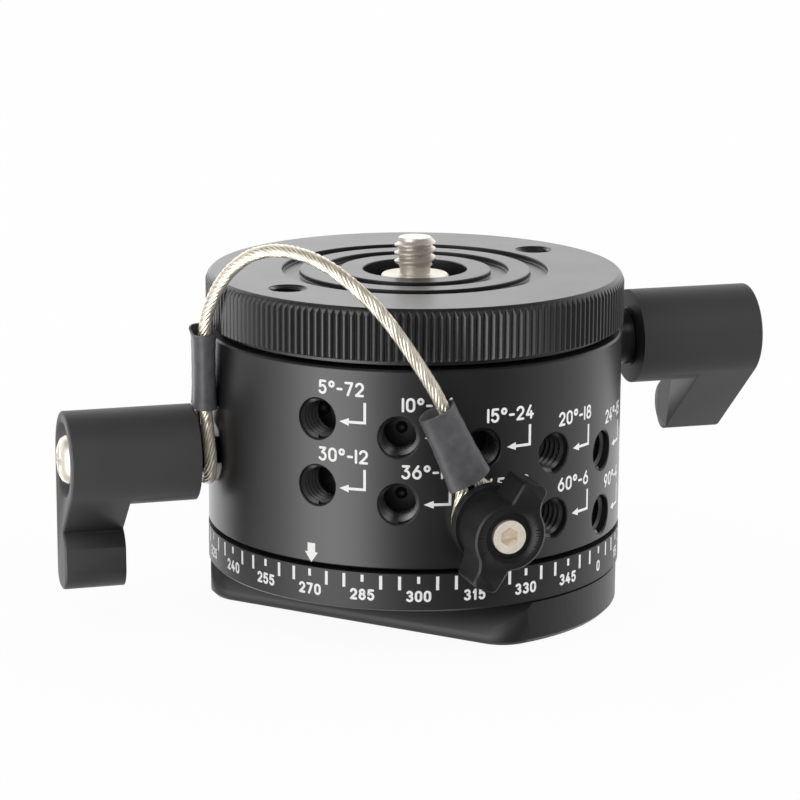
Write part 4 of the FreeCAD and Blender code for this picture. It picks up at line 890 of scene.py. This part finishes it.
def ink_shape(bm, corners):
    """Flat shape with the given corners, as a thin plate of ink."""
    face = bm.faces.new([bm.verts.new((x, y, -INK_SUNK)) for x, y in corners])
    grown = bmesh.ops.extrude_face_region(bm, geom=[face])["geom"]
    bmesh.ops.translate(bm, vec=(0, 0, INK_PROUD + INK_SUNK),
                        verts=[g for g in grown if isinstance(g, bmesh.types.BMVert)])


# %% [markdown]
# ## Lettering drawn as strokes
# Plain numbers are cut or printed with a round tool that follows a middle line, so a stroke has one width
# and round ends.  A text object would bring a typeface of its own with other shapes.  Here each digit is
# a few lines and arcs in a box 1 wide and 1 high, drawn as curves with a round bevel that is then
# pressed flat.

# %% Digits
ARC_STEP_DEG = 20


def arc(x, y, radius_x, radius_y, start_deg, stop_deg):
    """Points of an arc in a glyph's box, which is 1 wide and 1 high."""
    steps = max(4, round(abs(stop_deg - start_deg) / ARC_STEP_DEG))
    angles = [math.radians(start_deg + (stop_deg - start_deg) * step / steps) for step in range(steps + 1)]
    return [(x + radius_x * math.cos(angle), y + radius_y * math.sin(angle)) for angle in angles]


# Each glyph is a width, as a share of a digit's, and the middle lines of its strokes.
ENGRAVED = {
    "0": (1.0, [arc(0.5, 0.7, 0.5, 0.3, 0, 180) + arc(0.5, 0.3, 0.5, 0.3, 180, 360) + [(1.0, 0.7)]]),
    "1": (0.0, [[(0, 0), (0, 1)]]),
    "2": (1.0, [arc(0.5, 0.7, 0.5, 0.3, 165, -35) + [(0.06, 0.02)], [(0, 0), (1, 0)]]),
    "3": (0.95, [[(0.06, 1), (0.95, 1)], [(0.95, 1), (0.42, 0.62)],
                 arc(0.47, 0.31, 0.53, 0.31, 95, -150)]),
    "4": (1.05, [[(0.6, 1), (0, 0.28)], [(0, 0.28), (1, 0.28)], [(0.72, 0.52), (0.72, 0)]]),
    "5": (0.95, [[(0.95, 1), (0.12, 1)], [(0.12, 1), (0.06, 0.55)],
                 arc(0.47, 0.32, 0.53, 0.32, 140, -150)]),
    "6": (1.05, [[(0.66, 1), (0.06, 0.46)], arc(0.5, 0.32, 0.5, 0.32, 0, 360)]),
    "7": (1.0, [[(0, 1), (1, 1)], [(1, 1), (0.34, 0)]]),
    "8": (1.0, [arc(0.5, 0.77, 0.42, 0.23, 0, 360), arc(0.5, 0.27, 0.5, 0.27, 0, 360)]),
    "9": (1.05, [[(0.34, 0), (0.94, 0.54)], arc(0.5, 0.68, 0.5, 0.32, 0, 360)]),
    "°": (0.68, [arc(0.5, 0.8, 0.5, 0.2, 0, 360)]),
    "-": (0.62, [[(0, 0.45), (1, 0.45)]]),
}
UPRIGHT = dict(ENGRAVED)
UPRIGHT["1"] = (0.55, [[(0.15, 0.74), (0.72, 0.98)], [(0.72, 0), (0.72, 1)]])
UPRIGHT["3"] = (1.0, [arc(0.5, 0.76, 0.44, 0.24, 150, -80), arc(0.5, 0.26, 0.5, 0.26, 85, -150)])
print("glyphs:", " ".join(ENGRAVED))

# %% Helpers for lettering
CAP_SHARES = ((-1.0, 0.05), (-0.87, 0.5), (-0.5, 0.87))    # round end of a stroke: place and width
INK_PRESSED = 0.5      # a stroke's round section is pressed to this share before it is cut flat


def text_width(text, glyphs, digit_w, weight, gap):
    """Width of a text, as a share of its cap height."""
    return sum(glyphs[c][0] * digit_w + 2 * weight + gap for c in text) - gap


def ink_text(text, glyphs, cap_height, digit_w, weight, gap, x_start):
    """Lettering of round-ended strokes; digit_w, weight and gap are shares of the cap height."""
    curve = bpy.data.curves.new("lettering", "CURVE")
    curve.dimensions = "3D"
    curve.bevel_depth = weight * cap_height
    curve.bevel_resolution = 1
    curve.use_fill_caps = True
    x = x_start
    for character in text:
        width, strokes = glyphs[character]
        for stroke in strokes:
            line = [Vector((x + (weight + px * width * digit_w) * cap_height,
                            (weight + py * (1 - 2 * weight)) * cap_height)) for px, py in stroke]
            first = (line[0] - line[1]).normalized() * weight * cap_height
            last = (line[-1] - line[-2]).normalized() * weight * cap_height
            places = [(line[0] - first * share, wide) for share, wide in CAP_SHARES]
            places += [(point, 1.0) for point in line]
            places += [(line[-1] - last * share, wide) for share, wide in reversed(CAP_SHARES)]
            spline = curve.splines.new("POLY")
            spline.points.add(len(places) - 1)
            for (place, wide), point in zip(places, spline.points):
                point.co = (place.x, place.y, 0, 1)
                point.radius = wide
        x += (width * digit_w + 2 * weight + gap) * cap_height
    bm = bmesh.new()
    bm.from_mesh(mesh_of_curve(curve))
    bmesh.ops.remove_doubles(bm, verts=bm.verts, dist=WELD)
    for vert in bm.verts:
        vert.co.z = max(-INK_SUNK, min(INK_PROUD, vert.co.z * INK_PRESSED))
    return bm


# %% [markdown]
# ## Degree scale
# The ring shows where the head points: a tick each five degrees, a shorter one over each number, and a
# number each fifteen.  A ring of ticks could be an Array modifier, but the numbers differ, so one loop
# makes both.

# %% Degree scale
TICK_W = 0.45 * MM
TICK_TOP = 11.89 * MM
TICK_LONG_LOW = 9.80 * MM
TICK_SHORT_LOW = 10.82 * MM
NUMBER_FOOT = 8.0 * MM
NUMBER_HEIGHT = 1.75 * MM
NUMBER_STYLE = (0.43, 0.105, 0.11)    # digit width, half stroke and gap, as shares of the height
TICK_STEP_DEG = 5
NUMBER_STEP_DEG = 15
ticks = bmesh.new()
numbers = bmesh.new()
for degrees in range(0, 360, TICK_STEP_DEG):
    numbered = degrees % NUMBER_STEP_DEG == 0
    mark = bmesh.new()
    ink_box(mark, -TICK_W / 2, TICK_W / 2, TICK_SHORT_LOW if numbered else TICK_LONG_LOW, TICK_TOP)
    rolled(mark, RING_R, degrees, 0.0)
    add_to(ticks, mark)
    if numbered:
        text = str(degrees)
        half = text_width(text, UPRIGHT, *NUMBER_STYLE) * NUMBER_HEIGHT / 2
        mark = ink_text(text, UPRIGHT, NUMBER_HEIGHT, *NUMBER_STYLE, -half)
        rolled(mark, RING_R, degrees, NUMBER_FOOT)
        add_to(numbers, mark)
make_piece("scale_ticks", ticks, "base", "black_anodised", white_ink, INK_CREASE_DEG)
make_piece("scale_numbers", numbers, "base", "black_anodised", white_ink, INK_CREASE_DEG)

# %% [markdown]
# ## Arrows and labels on the housing
# An arrow points down at the scale.  Beside each hole a label says how many degrees one click is and how
# many clicks go round, and an elbow arrow ties the label to its hole.  The labels could be one long
# strip, but each is laid out flat on its own and rolled on at its hole, which keeps every one in line.

# %% Index arrow
ARROW_DEG = 270.5
ARROW_TIP_Z = 12.95 * MM
ARROW_HEAD_Z = 14.5 * MM
ARROW_TOP_Z = 15.86 * MM
ARROW_HALF_HEAD = 1.1 * MM
ARROW_HALF_SHAFT = 0.64 * MM
index_arrow = bmesh.new()
ink_shape(index_arrow, [(0, ARROW_TIP_Z), (ARROW_HALF_HEAD, ARROW_HEAD_Z),
                        (ARROW_HALF_SHAFT, ARROW_HEAD_Z), (ARROW_HALF_SHAFT, ARROW_TOP_Z),
                        (-ARROW_HALF_SHAFT, ARROW_TOP_Z), (-ARROW_HALF_SHAFT, ARROW_HEAD_Z),
                        (-ARROW_HALF_HEAD, ARROW_HEAD_Z)])
rolled(index_arrow, HOUSING_R, ARROW_DEG, 0.0)
make_piece("index_arrow", index_arrow, "housing", "black_anodised", white_ink, INK_CREASE_DEG)

# %% Labels and elbow arrows at the holes
LABELS = ("5°-72", "10°-36", "15°-24", "20°-18", "24°-15",
          "30°-12", "36°-10", "45°-8", "60°-6", "90°-4")
LABEL_HEIGHT = 2.15 * MM
LABEL_RISE = 3.8 * MM
LABEL_START_DEG = 0.5
LABEL_DRIFT_DEG = 0.35    # each column is printed a little further along
ELBOW_DRIFT_DEG = 0.25
LABEL_SUNK = 0.45 * MM    # the label behind the plunger sits a little lower
LABEL_STYLE = (0.465, 0.085, 0.115)
LINE = 0.2 * MM           # half of a printed line
ELBOW_TIP = math.radians(6.5) * HOUSING_R
ELBOW_CORNER = math.radians(13.4) * HOUSING_R
ELBOW_RISE = 3.0 * MM
ELBOW_HEAD = 1.45 * MM
ELBOW_HALF_HEAD = 0.58 * MM
SHAFT_START = ELBOW_TIP + 0.8 * ELBOW_HEAD
labels = bmesh.new()
elbows = bmesh.new()
for index, (azimuth, height) in enumerate(HOLES):
    column = index % COLUMNS
    mark = ink_text(LABELS[index], ENGRAVED, LABEL_HEIGHT, *LABEL_STYLE, 0.0)
    rise = LABEL_RISE - (LABEL_SUNK if index == PLUNGER_HOLE else 0)
    rolled(mark, HOUSING_R, azimuth + LABEL_START_DEG + LABEL_DRIFT_DEG * column, height + rise)
    add_to(labels, mark)
    mark = bmesh.new()
    ink_box(mark, SHAFT_START, ELBOW_CORNER + LINE, -LINE, LINE)
    ink_box(mark, ELBOW_CORNER - LINE, ELBOW_CORNER + LINE, LINE, ELBOW_RISE)
    ink_shape(mark, [(ELBOW_TIP, 0), (ELBOW_TIP + ELBOW_HEAD, -ELBOW_HALF_HEAD),
                     (ELBOW_TIP + ELBOW_HEAD, ELBOW_HALF_HEAD)])
    rolled(mark, HOUSING_R, azimuth + ELBOW_DRIFT_DEG * column, height)
    add_to(elbows, mark)
make_piece("hole_labels", labels, "housing", "black_anodised", white_ink, INK_CREASE_DEG)
make_piece("hole_elbow_arrows", elbows, "housing", "black_anodised", white_ink, INK_CREASE_DEG)

# %% [markdown]
# ## Floor
# The head stands on a white table that fades into a white background.  A bent backdrop with strong lamps
# on it would do that too, but the lamps would wash out the black.  So the camera sees mostly plain white
# on the floor, with a small share of its real shading, which keeps the shadow under the head.

# %% Floor
FLOOR_HALF = 4.0
FLOOR_COLOUR = (0.9, 0.9, 0.9, 1)
FLOOR_WHITE = 0.94     # share of the plain white in what the camera sees of the floor
WHITE = (1, 1, 1, 1)


def seen_directly(tree):
    """A socket that is 1 for what the camera sees, straight or through glass, and 0 for other rays."""
    path = tree.nodes.new("ShaderNodeLightPath")
    seen = tree.nodes.new("ShaderNodeMath")
    seen.operation = "MAXIMUM"
    tree.links.new(path.outputs["Is Camera Ray"], seen.inputs[0])
    tree.links.new(path.outputs["Is Transmission Ray"], seen.inputs[1])
    return seen.outputs["Value"]


floor_bm = bmesh.new()
bmesh.ops.create_grid(floor_bm, x_segments=2, y_segments=2, size=FLOOR_HALF)
floor_mesh = bpy.data.meshes.new("floor")
floor_bm.to_mesh(floor_mesh)
floor_bm.free()
floor = bpy.data.objects.new("floor", floor_mesh)
bpy.context.scene.collection.objects.link(floor)
floor.visible_glossy = False
floor_material = bpy.data.materials.new("white_table")
floor_material.use_nodes = True
tree = floor_material.node_tree
tree.nodes.clear()
output = tree.nodes.new("ShaderNodeOutputMaterial")
diffuse = tree.nodes.new("ShaderNodeBsdfDiffuse")
diffuse.inputs["Color"].default_value = FLOOR_COLOUR
white = tree.nodes.new("ShaderNodeEmission")
white.inputs["Color"].default_value = WHITE
share = tree.nodes.new("ShaderNodeMath")
share.operation = "MULTIPLY"
share.inputs[1].default_value = FLOOR_WHITE
mix = tree.nodes.new("ShaderNodeMixShader")
tree.links.new(seen_directly(tree), share.inputs[0])
tree.links.new(share.outputs["Value"], mix.inputs["Fac"])
tree.links.new(diffuse.outputs["BSDF"], mix.inputs[1])
tree.links.new(white.outputs["Emission"], mix.inputs[2])
tree.links.new(mix.outputs["Shader"], output.inputs["Surface"])
floor.data.materials.append(floor_material)
print("floor %.0f m wide" % (2 * FLOOR_HALF))

# %% [markdown]
# ## The room that shows in the surfaces
# Black anodising is seen almost only by what it mirrors.  Real walls and screens could stand round the
# head, but a world shader says the same with two curves: brightness by direction round the head, counted
# from the camera to its left, and brightness by height.  Glossy rays see that room, the camera sees
# plain white, and all other light is even.

# %% Brightness of the room
FRONT = (CAMERA_AT - CAMERA_AIM).xy.normalized()
ROOM_PEAK = 4.8
PLAIN_LIGHT = 0.95
# degrees from the camera to its left, and brightness
ROUND_THE_HEAD = ((-180, 2.3), (-160, 1.9), (-132, 1.7), (-118, 1.3), (-95, 0.95), (-75, 0.7), (-45, 0.16),
                  (-8, 0.14), (10, 0.4), (22, 1.9), (34, 4.6), (56, 4.6), (72, 1.5), (92, 0.7), (115, 0.75),
                  (132, 1.7), (150, 2.4), (180, 2.6))
# height of the direction, from -1 straight down to 1 straight up, and share of that brightness
UP_AND_DOWN = ((-1.0, 0.3), (-0.5, 0.8), (-0.3, 0.85), (0.45, 0.85), (0.62, 0.4), (0.8, 0.1), (1.0, 0.06))
print("room: %d directions, %d heights" % (len(ROUND_THE_HEAD), len(UP_AND_DOWN)))


def curve_ramp(tree, stops, low, high, peak=1.0):
    """A colour ramp that holds a brightness curve from low to high."""
    spread = tree.nodes.new("ShaderNodeMapRange")
    spread.inputs["From Min"].default_value = low
    spread.inputs["From Max"].default_value = high
    ramp = tree.nodes.new("ShaderNodeValToRGB")
    elements = ramp.color_ramp.elements
    while len(elements) < len(stops):
        elements.new(0.5)
    for element, (place, brightness) in zip(elements, stops):
        element.position = (place - stops[0][0]) / (stops[-1][0] - stops[0][0])
        element.color = (brightness / peak, brightness / peak, brightness / peak, 1)
    tree.links.new(spread.outputs["Result"], ramp.inputs["Fac"])
    return spread.inputs["Value"], ramp.outputs["Color"]


# %% Room
world = bpy.data.worlds.new("white_room")
bpy.context.scene.world = world
world.use_nodes = True
tree = world.node_tree
tree.nodes.clear()
output = tree.nodes.new("ShaderNodeOutputWorld")
coordinates = tree.nodes.new("ShaderNodeTexCoord")
towards = {}
for name, direction in (("front", (FRONT.x, FRONT.y, 0)), ("left", (FRONT.y, -FRONT.x, 0)),
                        ("up", (0, 0, 1))):
    dot = tree.nodes.new("ShaderNodeVectorMath")
    dot.operation = "DOT_PRODUCT"
    dot.inputs[1].default_value = direction
    tree.links.new(coordinates.outputs["Generated"], dot.inputs[0])
    towards[name] = dot.outputs["Value"]
angle = tree.nodes.new("ShaderNodeMath")
angle.operation = "ARCTAN2"
tree.links.new(towards["left"], angle.inputs[0])
tree.links.new(towards["front"], angle.inputs[1])
angle_in, around = curve_ramp(tree, ROUND_THE_HEAD, -math.pi, math.pi, ROOM_PEAK)
height_in, by_height = curve_ramp(tree, UP_AND_DOWN, -1, 1)
tree.links.new(angle.outputs["Value"], angle_in)
tree.links.new(towards["up"], height_in)
combined = tree.nodes.new("ShaderNodeVectorMath")
combined.operation = "MULTIPLY"
tree.links.new(around, combined.inputs[0])
tree.links.new(by_height, combined.inputs[1])
room = tree.nodes.new("ShaderNodeBackground")
room.inputs["Strength"].default_value = ROOM_PEAK
tree.links.new(combined.outputs["Vector"], room.inputs["Color"])
plain = tree.nodes.new("ShaderNodeBackground")
plain.inputs["Color"].default_value = WHITE
plain.inputs["Strength"].default_value = PLAIN_LIGHT
backdrop = tree.nodes.new("ShaderNodeBackground")
backdrop.inputs["Color"].default_value = WHITE
path = tree.nodes.new("ShaderNodeLightPath")
mirrored = tree.nodes.new("ShaderNodeMixShader")
mix = tree.nodes.new("ShaderNodeMixShader")
tree.links.new(path.outputs["Is Glossy Ray"], mirrored.inputs["Fac"])
tree.links.new(plain.outputs["Background"], mirrored.inputs[1])
tree.links.new(room.outputs["Background"], mirrored.inputs[2])
tree.links.new(seen_directly(tree), mix.inputs["Fac"])
tree.links.new(mirrored.outputs["Shader"], mix.inputs[1])
tree.links.new(backdrop.outputs["Background"], mix.inputs[2])
tree.links.new(mix.outputs["Shader"], output.inputs["Surface"])
print("world:", len(tree.nodes), "nodes")

# %% [markdown]
# ## One soft lamp
# A large square lamp above the camera's right shoulder lifts the machined edges and draws a soft shadow.
# A sun would do it in one line, but its shadow's edge would be hard.  The lamp sits on a sphere round the
# head and faces it, and the camera can't see it.

# %% Lamp
CAMERA_DEG = math.degrees(math.atan2(FRONT.y, FRONT.x))
LAMP_BESIDE_CAMERA_DEG = 38
LAMP_ELEVATION_DEG = 44
LAMP_DISTANCE = 1.2
LAMP_SIDE = 0.5
LAMP_POWER = 0.7
lamp_azimuth = math.radians(CAMERA_DEG + LAMP_BESIDE_CAMERA_DEG)
lamp_elevation = math.radians(LAMP_ELEVATION_DEG)
lamp_place = Vector((math.cos(lamp_azimuth) * math.cos(lamp_elevation),
                     math.sin(lamp_azimuth) * math.cos(lamp_elevation),
                     math.sin(lamp_elevation))) * LAMP_DISTANCE
light = bpy.data.lights.new("key_box", "AREA")
light.shape = "SQUARE"
light.size = LAMP_SIDE
light.energy = LAMP_POWER
lamp = bpy.data.objects.new("key_box", light)
lamp_turn = (-lamp_place).to_track_quat("-Z", "Y").to_matrix().to_4x4()
lamp.matrix_world = Matrix.Translation(lamp_place) @ lamp_turn
lamp.visible_camera = False
bpy.context.scene.collection.objects.link(lamp)
print("lamp %.1f m from the head" % LAMP_DISTANCE)

# %% [markdown]
# ## Colours
# The Standard view shows a colour as it is written, where a filmic one would grey the white and lift the
# black.

# %% Finish
bpy.context.scene.view_settings.view_transform = "Standard"
